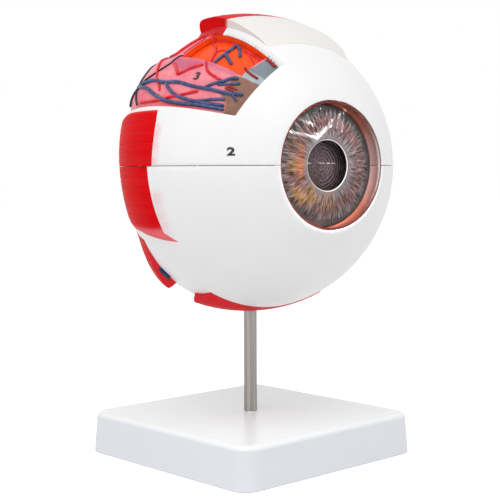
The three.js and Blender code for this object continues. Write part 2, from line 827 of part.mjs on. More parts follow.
function vessel(radius, floor, route) {
  const lift = floor + fit + radius;
  const path = new THREE.CatmullRomCurve3(route.map(([fromFront, around]) => (
    onGlobe(direction(fromFront, around), lift)
  )));
  const section = new THREE.Shape();
  section.absarc(0, 0, radius, 0, 2 * PI);
  return solid(new THREE.ExtrudeGeometry(section, {
    extrudePath: path,
    steps: Math.ceil(path.getLength() / vesselStep),
    curveSegments: aroundVessel / 2,
    bevelEnabled: false,
  }));
}

function joined(bodies) {
  return surface(bodies.reduce((all, next) => all.add(next)));
}

const vein = (route) => vessel(veinRadius, choroidOutside, route);
const thinVein = (route) => vessel(thinVeinRadius, choroidOutside, route);
const deepVein = (route) => vessel(veinRadius, retinaOutside, route);
const artery = (route) => vessel(arteryRadius, choroidOutside, route);
const deepArtery = (route) => vessel(arteryRadius, retinaOutside, route);

// The vein gathers its branches at one point at the back of the window.
const gather = [113, 36];
place(globe, 'vortex_vein', joined([
  vein([gather, [104, 35], [95, 35], [85, 34.8], [73, 34.6], [64, 34.5], [56, 36.3], [50, 38.4]]),
  vein([[54, 36.6], [50.5, 33.7]]),
  vein([[65, 34.6], [60.5, 39.6], [54.6, 45.3]]),
  vein([[59, 40.6], [52.4, 43.3]]),
  vein([gather, [104, 34], [97.5, 32], [89.4, 29.8], [81.8, 27.8], [71.7, 27], [63, 27.4], [53.2, 28.9]]),
  vein([[85, 34.6], [78, 31.2], [71.5, 29.8], [64, 29.8], [54, 31.3]]),
  thinVein([gather, [110, 42], [107, 48], [101, 51.5]]),
  thinVein([gather, [108, 41], [99, 42.6], [91.5, 45.5], [90.5, 48.8]]),
  thinVein([gather, [108, 30.6], [101, 27.6]]),
]), 'vein');
place(globe, 'forked_vein', joined([
  deepVein([[70.7, 50.8], [69.8, 58.2], [70.6, 64.4]]),
  deepVein([[70, 57], [63.2, 53]]),
  deepVein([[70.5, 64.2], [62.8, 58.3]]),
]), 'vein');
place(globe, 'artery_tree', joined([
  deepArtery([[85.5, 66], [82, 61.2], [76, 57], [73.4, 52.6], [73.6, 50.5]]),
  deepArtery([[85, 65.8], [77, 66.2], [70.8, 66.8], [65, 63.3], [56.8, 59.8]]),
  deepArtery([[76.2, 57.2], [73.2, 58.8]]),
  deepArtery([[65, 63.2], [59, 64.8], [56.4, 66]]),
]), 'artery');
place(globe, 'artery_limb', joined([
  artery([[96.5, 50.4], [92, 56.5], [89.6, 62], [89.4, 65.6]]),
  artery([[89.4, 51.5], [89.1, 60], [89.6, 63.2]]),
]), 'artery');
place(globe, 'artery_branch', surface(artery([[70.7, 47.4], [67.6, 43.6], [63.8, 42.2]])), 'artery');
place(globe, 'artery_bend', joined([
  artery([[86.4, 43.6], [80.9, 38.8]]),
  artery([[81.2, 38.8], [72.4, 45.8]]),
]), 'artery');

// Stand: rod, nut, washer and base

const seat = globeHeight + rodTop;
const footRimTop = baseHeight + footRimHeight;
const shoulder = baseHeight + fit;
const washerTop = bossBottom - fit;
const nutTop = washerTop - washerThickness - fit;
const nutBottom = nutTop - nutHeight;
place(stand, 'support_rod', closed(uprightTurned([
  [0, nutBottom - threadEnd],
  [threadRadius, nutBottom - threadEnd],
  [threadRadius, shoulder],
  [rodRadius, shoulder],
  [rodRadius, seat],
  [0, seat],
])), 'steel');

// A flat ring or nut with a round hole for the threaded end.
function nutShape(radius, sides) {
  const outline = new THREE.Shape();
  const corner = radius / cos(PI / sides);
  for (let i = 0; i < sides; i += 1) {
    const angle = 2 * PI * i / sides;
    const [x, y] = [corner * cos(angle), corner * sin(angle)];
    if (i === 0) outline.moveTo(x, y);
    else outline.lineTo(x, y);
  }
  outline.closePath();
  const hole = new THREE.Path();
  hole.absarc(0, 0, threadRadius + fit, 0, 2 * PI, true);
  outline.holes.push(hole);
  return outline;
}

function flatPiece(shape, from, height) {
  const body = new THREE.ExtrudeGeometry(shape, {
    depth: height,
    curveSegments: aroundSmall / 2,
    bevelEnabled: false,
  });
  return closed(body.translate(0, 0, from));
}

const washer = nutShape(washerRadius, aroundSmall);
place(stand, 'rod_washer', flatPiece(washer, washerTop - washerThickness, washerThickness), 'steel');
place(stand, 'rod_nut', flatPiece(nutShape(nutWidth / 2, 6), nutBottom, nutHeight), 'steel');

// A square with round corners, as a ring of points at a height.
function roundedSquare(side, corner, height) {
  const points = [];
  const centre = side / 2 - corner;
  for (let quarter = 0; quarter < 4; quarter += 1) {
    for (let i = 0; i <= cornerSteps; i += 1) {
      const angle = PI / 2 * (quarter + i / cornerSteps);
      const middle = PI / 2 * (quarter + 0.5);
      const x = Math.sign(cos(middle)) * centre + corner * cos(angle);
      const y = Math.sign(sin(middle)) * centre + corner * sin(angle);
      points.push(new THREE.Vector3(x, y, height));
    }
  }
  return points;
}

// A closed body through rings that have the same number of points.
function loft(rings) {
  const count = rings[0].length;
  const index = [];
  for (let k = 0; k + 1 < rings.length; k += 1) {
    for (let i = 0; i < count; i += 1) {
      const next = (i + 1) % count;
      const [a, b] = [k * count + i, k * count + next];
      index.push(a, b, b + count, a, b + count, a + count);
    }
  }
  const last = (rings.length - 1) * count;
  for (let i = 1; i + 1 < count; i += 1) {
    index.push(0, i + 1, i, last, last + i, last + i + 1);
  }
  const geometry = new THREE.BufferGeometry().setFromPoints(rings.flat());
  geometry.setIndex(index);
  return solid(geometry);
}

// The base's outside: drafted sides and a rounded top edge.
const edgeStart = baseHeight - baseEdge;
const sideAtEdge = baseSide - 2 * baseDraft;
const edgeRings = Array.from({ length: edgeSteps + 1 }, (_, i) => {
  const angle = PI / 2 * i / edgeSteps;
  const inset = baseEdge * (1 - cos(angle));
  return roundedSquare(sideAtEdge - 2 * inset, baseCorner - inset, edgeStart + baseEdge * sin(angle));
});
const baseBlock = loft([roundedSquare(baseSide, baseCorner, 0), ...edgeRings]);

const innerCorner = baseCorner - baseWall;
const plateSeat = plateThickness + fit;
const cavity = loft([
  roundedSquare(baseSide - 2 * baseWall, innerCorner, -overcut),
  roundedSquare(sideAtEdge - 2 * baseWall, innerCorner, baseHeight - baseTop),
]);
const recessSide = baseSide - 2 * (baseWall - plateStep);
const plateRecess = loft([
  roundedSquare(recessSide, innerCorner + plateStep, -overcut),
  roundedSquare(recessSide, innerCorner + plateStep, plateSeat),
]);

const ceiling = baseHeight - baseTop;
const inTop = baseHeight - baseTop / 2;
const ribs = [0, PI / 2].map((turn) => {
  const rib = new THREE.BoxGeometry(baseSide - 2 * baseWall, ribThickness, ribDepth);
  return solid(rib.translate(0, 0, ceiling - ribDepth / 2).rotateZ(turn));
});
const screwPlaces = [[-1, -1], [1, -1], [1, 1], [-1, 1]].map(([x, y]) => (
  [x * (baseSide / 2 - screwInset), y * (baseSide / 2 - screwInset)]
));

// The same upright piece at each screw.
function atScrews(radius, from, to) {
  return screwPlaces.map(([x, y]) => solid(upright(radius, from, to, aroundScrew).translate(x, y, 0)));
}

const added = [
  ...ribs,
  ...atScrews(screwPostRadius, plateSeat, inTop),
  solid(upright(bossRadius, bossBottom, inTop)),
  solid(upright(rodRadius + fit + footRimWidth, ceiling, footRimTop)),
];
const cut = [
  plateRecess,
  ...atScrews(screwRadius + pinGap, 0, screwLength + overcut),
  solid(upright(threadRadius + fit, 0, footRimTop + overcut)),
  solid(upright(rodRadius + fit, baseHeight, footRimTop + overcut)),
];
const baseShell = added.reduce((all, next) => all.add(next), baseBlock.subtract(cavity));
place(stand, 'base_cover', surface(cut.reduce((rest, next) => rest.subtract(next), baseShell)), 'base');

const plateSide = recessSide - 2 * fit;
const plateCorner = innerCorner + plateStep - fit;
const plate = loft([
  roundedSquare(plateSide, plateCorner, 0),
  roundedSquare(plateSide, plateCorner, plateThickness),
]);
const plateHoles = [
  ...atScrews(screwHeadRadius + fit, -overcut, screwHeadHeight + fit),
  ...atScrews(screwRadius + fit, -overcut, plateSeat),
];
place(stand, 'base_plate', surface(plateHoles.reduce((rest, next) => rest.subtract(next), plate)), 'base');

screwPlaces.forEach(([x, y], i) => {
  const screw = uprightTurned([
    [0, screwFoot],
    [screwHeadRadius, screwFoot],
    [screwHeadRadius, screwHeadHeight],
    [screwRadius, screwHeadHeight],
    [screwRadius, screwLength - screwRadius],
    [0, screwLength],
  ], aroundScrew);
  place(stand, `base_screw_${i + 1}`, closed(screw.translate(x, y, 0)), 'steel');
});

export default model;
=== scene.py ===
# Eye anatomy model at six times life size: a parted globe that turns on a steel rod over a white base
import math
import bmesh
import bpy
import numpy as np
from mathutils import Matrix, Vector


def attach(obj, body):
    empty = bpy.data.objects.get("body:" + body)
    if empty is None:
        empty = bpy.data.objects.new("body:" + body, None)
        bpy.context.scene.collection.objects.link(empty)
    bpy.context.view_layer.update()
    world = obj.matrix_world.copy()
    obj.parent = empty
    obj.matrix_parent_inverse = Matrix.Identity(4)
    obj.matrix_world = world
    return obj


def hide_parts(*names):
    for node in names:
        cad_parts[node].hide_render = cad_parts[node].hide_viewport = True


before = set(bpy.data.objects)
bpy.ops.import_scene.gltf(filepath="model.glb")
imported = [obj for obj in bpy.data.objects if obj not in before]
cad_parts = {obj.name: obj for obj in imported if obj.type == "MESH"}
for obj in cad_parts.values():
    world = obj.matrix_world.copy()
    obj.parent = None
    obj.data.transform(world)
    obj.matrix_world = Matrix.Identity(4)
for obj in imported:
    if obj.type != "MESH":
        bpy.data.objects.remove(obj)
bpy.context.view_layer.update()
mm = 0.001  # lengths below are in millimetres, angles in degrees


def toScene(made):
    bpy.context.scene.collection.objects.link(made)
    return made


# Joins a node's inputs to outputs of other nodes, or gives them values
def feed(tree, node, inputs):
    for key, value in inputs.items():
        if isinstance(value, bpy.types.NodeSocket):
            tree.links.new(value, node.inputs[key])
        else:
            node.inputs[key].default_value = value


def addNode(tree, kind, inputs=None, **settings):
    new = tree.nodes.new(kind)
    for key, value in settings.items():
        setattr(new, key, value)
    feed(tree, new, inputs or {})
    return new


def calculate(tree, operation, first, second=0.0, clamp=False):
    inputs = {0: first, 1: second}
    return addNode(tree, "ShaderNodeMath", inputs, operation=operation, use_clamp=clamp).outputs[0]


def mixShader(tree, factor, first, second):
    return addNode(tree, "ShaderNodeMixShader", {0: factor, 1: first, 2: second}).outputs[0]


def newMaterial(name):
    material = bpy.data.materials.new(name)
    material.use_nodes = True
    return material, material.node_tree, material.node_tree.nodes["Principled BSDF"]


# Camera, lamps and floor

camera = {
    "position": (-349.6, -490.4, 144.2),
    "forward": (0.5792, 0.8125, -0.0658),
    "up": (0.041, 0.0516, 0.9978),
    "lens": 84.69,
    "sensor": 36,
    "pixels": 500,
}


# The camera's axes are its right, its up and the way back from what it looks at
def cameraTurn():
    forward = Vector(camera["forward"]).normalized()
    right = forward.cross(Vector(camera["up"])).normalized()
    return Matrix((right, right.cross(forward), -forward)).transposed()


def addCamera():
    data = bpy.data.cameras.new("camera")
    data.lens = camera["lens"]
    data.sensor_width = camera["sensor"]
    data.sensor_fit = "HORIZONTAL"
    data.clip_end = 20
    seen = toScene(bpy.data.objects.new("camera", data))
    seen.matrix_world = Matrix.Translation(Vector(camera["position"]) * mm) @ cameraTurn().to_4x4()
    bpy.context.scene.camera = seen


# Line of sight through a pixel: right and up by its distance from the middle over the focal length
def sightThrough(pixel):
    focal = camera["lens"] / camera["sensor"] * camera["pixels"]
    middle = camera["pixels"] / 2
    way = Vector(((pixel[0] - middle) / focal, (middle - pixel[1]) / focal, -1))
    return (cameraTurn() @ way).normalized()


addCamera()
bpy.context.scene.view_settings.view_transform = "Standard"

lamps = {
    "above": {"place": (-500, -500, 1500), "side": 1300, "power": 11.2, "colour": (1, 1, 1)},
    "left": {"place": (-1500, -300, 500), "side": 900, "power": 4.2, "colour": (1, 1, 1)},
    "right": {"place": (900, -1300, 500), "side": 900, "power": 4.2, "colour": (0.97, 0.98, 1)},
}
lampTarget = Vector((0, 0, 120))


# A rectangular lamp, with its sides in metres
def newLamp(name, across, height, power):
    data = bpy.data.lights.new(name, "AREA")
    data.shape = "RECTANGLE"
    data.size = across
    data.size_y = height
    data.energy = power
    return toScene(bpy.data.objects.new(name, data))


for lampName, lamp in lamps.items():
    made = newLamp(lampName, lamp["side"] * mm, lamp["side"] * mm, lamp["power"])
    made.data.color = lamp["colour"]
    made.location = Vector(lamp["place"]) * mm
    made.rotation_euler = (lampTarget - Vector(lamp["place"])).to_track_quat("-Z", "Y").to_euler()


# 1 for rays from a mirror or through glass, 0 for the light that falls on things
def seenByReflection(tree, path):
    return calculate(tree, "ADD", path["Is Glossy Ray"], path["Is Transmission Ray"], clamp=True)


surroundings = {"light": 0.58, "floorColour": 0.82, "floorGlow": 0.6, "floorSide": 8000, "floorDrop": 0.05}
white = (1, 1, 1, 1)


def addWorld():
    world = bpy.data.worlds.new("surroundings")
    bpy.context.scene.world = world
    world.use_nodes = True
    tree = world.node_tree
    tree.nodes.clear()
    lit, shown = (
        addNode(tree, "ShaderNodeBackground", {"Color": white, "Strength": strength}).outputs[0]
        for strength in (surroundings["light"], 1)
    )
    path = addNode(tree, "ShaderNodeLightPath").outputs
    share = calculate(tree, "ADD", seenByReflection(tree, path), path["Is Camera Ray"], clamp=True)
    addNode(tree, "ShaderNodeOutputWorld", {"Surface": mixShader(tree, share, lit, shown)})


def addFloor():
    half = surroundings["floorSide"] / 2 * mm
    corners = [(-half, -half, 0), (half, -half, 0), (half, half, 0), (-half, half, 0)]
    mesh = bpy.data.meshes.new("floor")
    mesh.from_pydata(corners, [], [(0, 1, 2, 3)])
    floor = toScene(bpy.data.objects.new("floor", mesh))
    floor.location.z = -surroundings["floorDrop"] * mm
    material, tree, _ = newMaterial("floor")
    tree.nodes.clear()
    pale = surroundings["floorColour"]
    matt = addNode(tree, "ShaderNodeBsdfDiffuse", {"Color": (pale, pale, pale, 1)}).outputs[0]
    path = addNode(tree, "ShaderNodeLightPath").outputs
    strength = calculate(tree, "MULTIPLY", path["Is Camera Ray"], surroundings["floorGlow"])
    glow = addNode(tree, "ShaderNodeEmission", {"Color": white, "Strength": strength}).outputs[0]
    lifted = addNode(tree, "ShaderNodeAddShader", {0: matt, 1: glow}).outputs[0]
    plain = addNode(tree, "ShaderNodeEmission", {"Color": white, "Strength": 1}).outputs[0]
    both = mixShader(tree, seenByReflection(tree, path), lifted, plain)
    addNode(tree, "ShaderNodeOutputMaterial", {"Surface": both})
    mesh.materials.append(material)


addWorld()
addFloor()
print("camera, lamps and floor set")

# Shape of the globe

globe = {
    "centre": (0, -5, 147.3),
    "radius": 72,
    "frontReach": 66,
    "backReach": 68,
    "limbusRise": 1.5,  # swell of the white round the front opening
    "limbusStart": 42,
    "limbusEnd": 27,
    "flatDepth": 4.2,  # flat under the lateral rectus
    "flatCentre": -10,
    "flatSpread": 58,
    "flatStart": 68,
    "flatFull": 122,
    "flatGone": 160,
    "seamGap": 0.3,
}
globeCentre = np.array(globe["centre"], float)


# Eased from 0 to 1 between two values
def eased(value, low, high):
    share = np.clip((value - low) / (high - low), 0, 1)
    return share * share * (3 - 2 * share)


# Unit vectors from the angle off the front pole and the angle round the line of sight, from -X up
def direction(fromFront, around):
    t, p = np.radians(fromFront), np.radians(around)
    return np.stack([-np.sin(t) * np.cos(p), -np.cos(t) + 0 * p, np.sin(t) * np.sin(p)], -1)


def anglesOf(points):
    unit = points / np.linalg.norm(points, axis=-1, keepdims=True)
    fromFront = np.degrees(np.arccos(np.clip(-unit[..., 1], -1, 1)))
    return fromFront, np.degrees(np.arctan2(unit[..., 2], -unit[..., 0]))


# How far the cast is flattened: a squared cosine round the line of sight, eased in and out along it
def flatDepth(fromFront, around):
    across = np.clip((around - globe["flatCentre"]) / globe["flatSpread"], -1, 1)
    rise = eased(fromFront, globe["flatStart"], globe["flatFull"])
    fade = 1 - eased(fromFront, globe["flatFull"], globe["flatGone"])
    return globe["flatDepth"] * np.cos(across * np.pi / 2) ** 2 * rise * fade


# Distance from the centre: two half ellipsoids, with a swell round the front opening
def plainRadius(fromFront):
    reach = np.where(fromFront < 90, globe["frontReach"], globe["backReach"])
    t = np.radians(fromFront)
    plain = 1 / np.hypot(np.cos(t) / reach, np.sin(t) / globe["radius"])
    return plain + globe["limbusRise"] * (1 - eased(fromFront, globe["limbusEnd"], globe["limbusStart"]))


# Points at a height over the outside of the white
def globePoint(fromFront, around, lift):
    reach = plainRadius(fromFront) - flatDepth(fromFront, around) + lift
    return globeCentre + direction(fromFront, around) * reach[..., None]


# Points about the globe's centre, drawn in by the flat on its side and put in place
def settled(points):
    length = np.linalg.norm(points, axis=-1, keepdims=True)
    depth = flatDepth(*anglesOf(points))[..., None]
    return globeCentre + points * (1 - depth / length)


# Angle off the front pole at which a shell has a distance from the line of sight, or a reach forward
def angleAt(lift, distance=None, reach=None):
    angles = np.linspace(1, 89, 88001)
    radius = plainRadius(angles) + lift
    if reach is None:
        return float(np.interp(distance, radius * np.sin(np.radians(angles)), angles))
    return float(np.interp(-reach, -radius * np.cos(np.radians(angles)), angles))


# Mesh helpers


# Quads of a grid whose points are numbered row by row
def gridQuads(rows, columns, first=0, closedColumns=False, closedRows=False):
    i = np.arange(rows if closedRows else rows - 1)[:, None]
    j = np.arange(columns if closedColumns else columns - 1)[None, :]
    nextRow, nextColumn = (i + 1) % rows, (j + 1) % columns
    here, below = i * columns, nextRow * columns
    return np.stack([here + j, below + j, below + nextColumn, here + nextColumn], -1).reshape(-1, 4) + first


# Values from one stop to the next, no further apart than a step
def spaced(stops, step):
    parts = [
        np.linspace(low, high, max(1, math.ceil((high - low) / step)), endpoint=False)
        for low, high in zip(stops, stops[1:])
    ]
    return np.concatenate(parts + [np.array(stops[-1:], float)])


# Cubic through stops: each stretch meets its ends with the slope between the stops on both sides of them
def curveThrough(stops, perStretch):
    p = np.asarray(stops, float)
    slope = np.gradient(p, axis=0)
    t = np.linspace(0, 1, perStretch, endpoint=False)[None, :, None]
    ends = (2 * t**3 - 3 * t**2 + 1) * p[:-1, None] + (3 * t**2 - 2 * t**3) * p[1:, None]
    slopes = (t**3 - 2 * t**2 + t) * slope[:-1, None] + (t**3 - t**2) * slope[1:, None]
    return np.concatenate([(ends + slopes).reshape(-1, p.shape[1]), p[-1:]])


# Points about the globe's centre from their distance off the line of sight, reach forward and angle
def turned(distance, reach, around):
    a = np.radians(around)
    return np.stack([-distance * np.cos(a), -reach + 0 * a, distance * np.sin(a)], -1)


# A closed mesh from points in millimetres and lists of corners, with its faces outward
def closedMesh(name, points, faces, welded):
    mesh = bpy.data.meshes.new(name)
    mesh.from_pydata((points.reshape(-1, 3) * mm).tolist(), [], faces)
    build = bmesh.new()
    build.from_mesh(mesh)
    if welded:
        bmesh.ops.remove_doubles(build, verts=build.verts, dist=0.004 * mm)
        bmesh.ops.dissolve_degenerate(build, edges=build.edges, dist=0.001 * mm)
    bmesh.ops.recalc_face_normals(build, faces=build.faces)
    build.to_mesh(mesh)
    build.free()
    return mesh


def shadeSmooth(mesh, sharpAngle):
    mesh.shade_smooth()
    mesh.set_sharp_from_angle(angle=math.radians(sharpAngle))


# A piece from points in millimetres and arrays of faces
def addPiece(name, points, faces, body, slot, replaces, sharpAngle=40):
    corners = [corner for group in faces for corner in np.asarray(group).tolist()]
    mesh = closedMesh(name, points, corners, True)
    shadeSmooth(mesh, sharpAngle)
    piece = toScene(bpy.data.objects.new(name, mesh))
    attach(piece, body)
    if replaces:
        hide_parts(*replaces)
    return piece


def softenEdges(piece, width):
    bevel = piece.modifiers.new("soft edges", "BEVEL")
    bevel.width = width * mm
    bevel.segments = 2
    bevel.limit_method = "ANGLE"
    bevel.angle_limit = math.radians(40)
    bevel.harden_normals = True


# A mesh of its own from a curve, or from what a piece's modifiers make of it
def applied(piece):
    bpy.context.view_layer.update()
    return bpy.data.meshes.new_from_object(piece.evaluated_get(bpy.context.evaluated_depsgraph_get()))


# Cuts a closed shape, given as points in millimetres and faces, out of a piece
def cutAway(piece, points, faces):
    cutter = toScene(bpy.data.objects.new("cutter", closedMesh("cutter", points, faces, False)))
    cut = piece.modifiers.new("cut", "BOOLEAN")
    cut.object = cutter
    cut.solver = "EXACT"
    done = applied(piece)
    piece.modifiers.clear()
    piece.data = done
    shadeSmooth(done, 40)
    bpy.data.objects.remove(cutter)


# Upright round bars to cut holes with; each bar is x, y, radius, bottom and top
def cutHoles(piece, bars, sides=48):
    turn = np.linspace(0, 2 * np.pi, sides, endpoint=False)
    points, faces = [], []
    for n, (x, y, radius, bottom, top) in enumerate(bars):
        for height in (bottom, top):
            ring = [x + radius * np.cos(turn), y + radius * np.sin(turn), height + 0 * turn]
            points.append(np.stack(ring, -1))
        first = n * 2 * sides
        faces += gridQuads(2, sides, first, closedColumns=True).tolist()
        faces += [list(range(first, first + sides)), list(range(first + sides, first + 2 * sides))]
    cutAway(piece, np.concatenate(points), faces)


def placesOf(items, key):
    flat = np.empty(len(items) * 3, np.float32)
    items.foreach_get(key, flat)
    return flat.reshape(-1, 3).astype(float)


# Angles of vertices or of middles of faces, and their height over the white
def overWhite(items, key):
    points = placesOf(items, key) / mm - globeCentre
    fromFront, around = anglesOf(points)
    surface = plainRadius(fromFront) - flatDepth(fromFront, around)
    return fromFront, around, np.linalg.norm(points, axis=-1) - surface


# Numbers worked out for every vertex from its angles and its height over the white
def paintValues(piece, values):
    places = overWhite(piece.data.vertices, "co")
    for name, work in values.items():
        attribute = piece.data.attributes.new(name, "FLOAT", "POINT")
        attribute.data.foreach_set("value", work(*places).astype(np.float32))


def paintPiece(piece, material):
    piece.data.materials.clear()
    piece.data.materials.append(material)


# Material helpers


def mixColour(tree, factor, first, second, kind="MIX"):
    first, second = ((*value, 1) if isinstance(value, tuple) else value for value in (first, second))
    inputs = {0: factor, 6: first, 7: second}
    return addNode(tree, "ShaderNodeMix", inputs, data_type="RGBA", blend_type=kind).outputs[2]


# Multiplies a colour by a share
def shaded(tree, colour, share):
    return mixColour(tree, 1.0, colour, mixColour(tree, share, (0, 0, 0), (1, 1, 1)), "MULTIPLY")


def times(tree, product, *others):
    for value in others:
        product = calculate(tree, "MULTIPLY", product, value)
    return product


# What a noise adds when it swings about its middle
def swing(tree, value, amount):
    return times(tree, calculate(tree, "SUBTRACT", value, 0.5), amount)


def vectorMath(tree, operation, first, second=(0, 0, 0)):
    new = addNode(tree, "ShaderNodeVectorMath", {0: first, 1: second}, operation=operation)
    return new.outputs["Value" if operation == "LENGTH" else "Vector"]


def easedMask(tree, value, low, high, start=0.0, end=1.0):
    inputs = {"Value": value, "From Min": low, "From Max": high, "To Min": start, "To Max": end}
    return addNode(tree, "ShaderNodeMapRange", inputs, interpolation_type="SMOOTHSTEP").outputs[0]


def noise(tree, vector, scale, detail=3, roughness=0.5):
    inputs = {"Vector": vector, "Scale": scale, "Detail": detail, "Roughness": roughness}
    return addNode(tree, "ShaderNodeTexNoise", inputs).outputs["Fac"]


# Noise eased between two of its values
def patchy(tree, point, scale, detail, low, high, start=0.0, end=1.0):
    return easedMask(tree, noise(tree, point, scale, detail), low, high, start, end)


def ownValue(tree, name):
    return addNode(tree, "ShaderNodeAttribute", attribute_name=name).outputs["Fac"]


def objectPoint(tree):
    return addNode(tree, "ShaderNodeTexCoord").outputs["Object"]


# The place about the globe's centre, its part square to the line of sight, and the length of that part
def aboutAxis(tree):
    inputs = {"Vector": objectPoint(tree), "Location": [-value * mm for value in globe["centre"]]}
    moved = addNode(tree, "ShaderNodeMapping", inputs, vector_type="POINT").outputs[0]
    flat = vectorMath(tree, "MULTIPLY", moved, (1, 0, 1))
    return moved, flat, vectorMath(tree, "LENGTH", flat)


def bump(tree, height, distance):
    inputs = {"Height": height, "Distance": distance * mm, "Strength": 1.0}
    return addNode(tree, "ShaderNodeBump", inputs).outputs[0]


def setSurface(tree, surface):
    feed(tree, tree.nodes["Material Output"], {"Surface": surface})


# A paint that wanders from one colour to another over soft patches, with a grain of its own
def mottledPaint(name, colours, patches, grain, roughness, specular=0.5):
    material, tree, shader = newMaterial(name)
    point = objectPoint(tree)
    scale, detail, depth = grain
    feed(tree, shader, {
        "Base Color": mixColour(tree, patchy(tree, point, *patches), *colours),
        "Normal": bump(tree, noise(tree, point, scale, detail), depth),
        "Roughness": roughness,
        "Specular IOR Level": specular,
    })
    return material


# White paint on the hard cast: faint cloudiness, fine roller texture, and a blush of red beside the straps
whitePaint = {"colour": (0.86, 0.86, 0.86), "cloud": (0.84, 0.84, 0.845), "blush": (0.88, 0.34, 0.38)}


def whitePaintMaterial():
    material, tree, shader = newMaterial("whitePaint")
    point = objectPoint(tree)
    cloudy = patchy(tree, point, 28, 4, 0.35, 0.7)
    colour = mixColour(tree, cloudy, whitePaint["colour"], whitePaint["cloud"])
    share = times(tree, ownValue(tree, "blush"), patchy(tree, point, 260, 3, 0.2, 0.75, 0.35, 1.35))
    feed(tree, shader, {
        "Base Color": mixColour(tree, share, colour, whitePaint["blush"]),
        "Roughness": patchy(tree, point, 60, 3, 0.3, 0.7, 0.3, 0.38),
        "Normal": bump(tree, noise(tree, point, 1500, 2), 0.012),
        "Specular IOR Level": 0.3,
    })
    return material


# Half of a shell: an outer and an inner sheet of rows from the front to the back pole, a profile that joins
# them in front, and walls along the seam and round a hole. Columns run evenly from the seam over the knots to
# the seam on the other side, which lies where the height over it equals half the gap.
def halfShell(angles, lifts, starts, between, side, counts, knots=(), hole=None, swell=None):
    sheets = []
    for lift, (startAngle, startRow) in zip(lifts, starts):
        kept = np.maximum(angles, startAngle)
        radius = plainRadius(kept) + lift
        rows = np.stack([radius * np.sin(np.radians(kept)), radius * np.cos(np.radians(kept))], -1)
        rows[angles <= startAngle] = startRow
        sheets.append(rows)
    if between:
        sheets.insert(1, np.array(between, float))
    points, firsts = [], []
    for rows in sheets:
        seam = np.degrees(np.arcsin(np.minimum(1, globe["seamGap"] / 2 / np.maximum(rows[:, 0], 1e-6))))
        edges = [seam] + [np.clip(knot, seam, 180 - seam) for knot in knots] + [180 - seam]
        spans = [
            low[:, None] + (high - low)[:, None] * np.arange(count) / count
            for low, high, count in zip(edges, edges[1:], counts)
        ]
        grid = turned(rows[:, :1], rows[:, 1:], side * np.concatenate(spans + [edges[-1][:, None]], 1))
        if swell and not points:
            length = np.linalg.norm(grid, axis=-1, keepdims=True)
            grid = grid * (1 + swell(*anglesOf(grid))[..., None] / length)
        firsts.append(sum(len(p) for p in points))
        points.append(settled(grid).reshape(-1, 3))
    columns = sum(counts) + 1
    outer, inner = firsts[0], firsts[-1]
    quads = gridQuads(len(angles), columns)
    faces = []

    def wall(a, b):
        return np.stack([a + outer, b + outer, b + inner, a + inner], -1)

    def wallAlong(column, first, last):
        a = np.arange(first, last) * columns + column
        return wall(a, a + columns)

    if hole:
        row, column = np.divmod(quads[:, 0], columns)
        (rowFrom, rowTo), (columnFrom, columnTo) = hole
        quads = quads[(row < rowFrom) | (row >= rowTo) | (column < columnFrom) | (column >= columnTo)]
        faces += [wallAlong(c, rowFrom, rowTo) for c in (columnFrom, columnTo)]
        for r in (rowFrom, rowTo):
            a = r * columns + np.arange(columnFrom, columnTo)
            faces.append(wall(a, a + 1))
    faces += [quads + outer, quads + inner]
    fronts = [outer + np.arange(columns)]
    if between:
        fronts += list(firsts[1] + np.arange(len(between) * columns).reshape(-1, columns))
    fronts.append(inner + np.arange(columns))
    for low, high in zip(fronts, fronts[1:]):
        faces.append(np.stack([low[:-1], low[1:], high[1:], high[:-1]], -1))
    for c in (0, columns - 1):
        faces.append(wallAlong(c, 0, len(angles) - 1))
        if between:
            faces.append(np.array([[line[c] for line in fronts]]))
    return np.concatenate(points), faces


# White of the eye

sclera = {
    "inside": -2.6,
    "openingRadius": 30.3,
    "step": 1.6,
    "columns": 116,
    "edge": 0.35,
    "pinHole": 0.8,
    "pinAngles": (58, 106),
    "pinDepth": 3,
    "rodBehind": 5,
    "bushHole": 6.3,
}
window = {
    "front": 47,
    "frontBow": 3.2,
    "back": 131,
    "sillFront": 26.8,
    "sillLow": (64, 22.4),
    "sillBack": 23.2,
    "sillUndercut": 3.5,
    "top": 70.5,
    "topLean": 3,
    "blockStart": 80,
    "blockEnd": 101.5,  # past the end of the red block the window reaches higher
    "blockTop": 88,
    "knee": (120, 60),
    "lip": 0.5,
    "lipUnderBlock": 0.05,
    "lipTurn": 55,
    "lipClear": (0.15, 1.1),  # where the cutter leaves the lip: height, and distance in widths of the lip
    "redFrom": 82,  # where the red of the block comes down over the upper wall
    "redAbove": 62,
    "steps": 28,
    "middle": (105, 62),  # sees the whole outline
    "reach": (28, 60, 126, 200),  # bottom point, bottom ring, top ring and top point of the cutter
}
lastRow = 178.4
backRow = 180 - math.degrees(math.asin(globe["seamGap"] / 2 / globe["backReach"]))
rodPlace = (globe["centre"][0], globe["centre"][1] + sclera["rodBehind"])
barBottom, barTop = 0.4 * globe["centre"][2], 0.6 * globe["centre"][2]


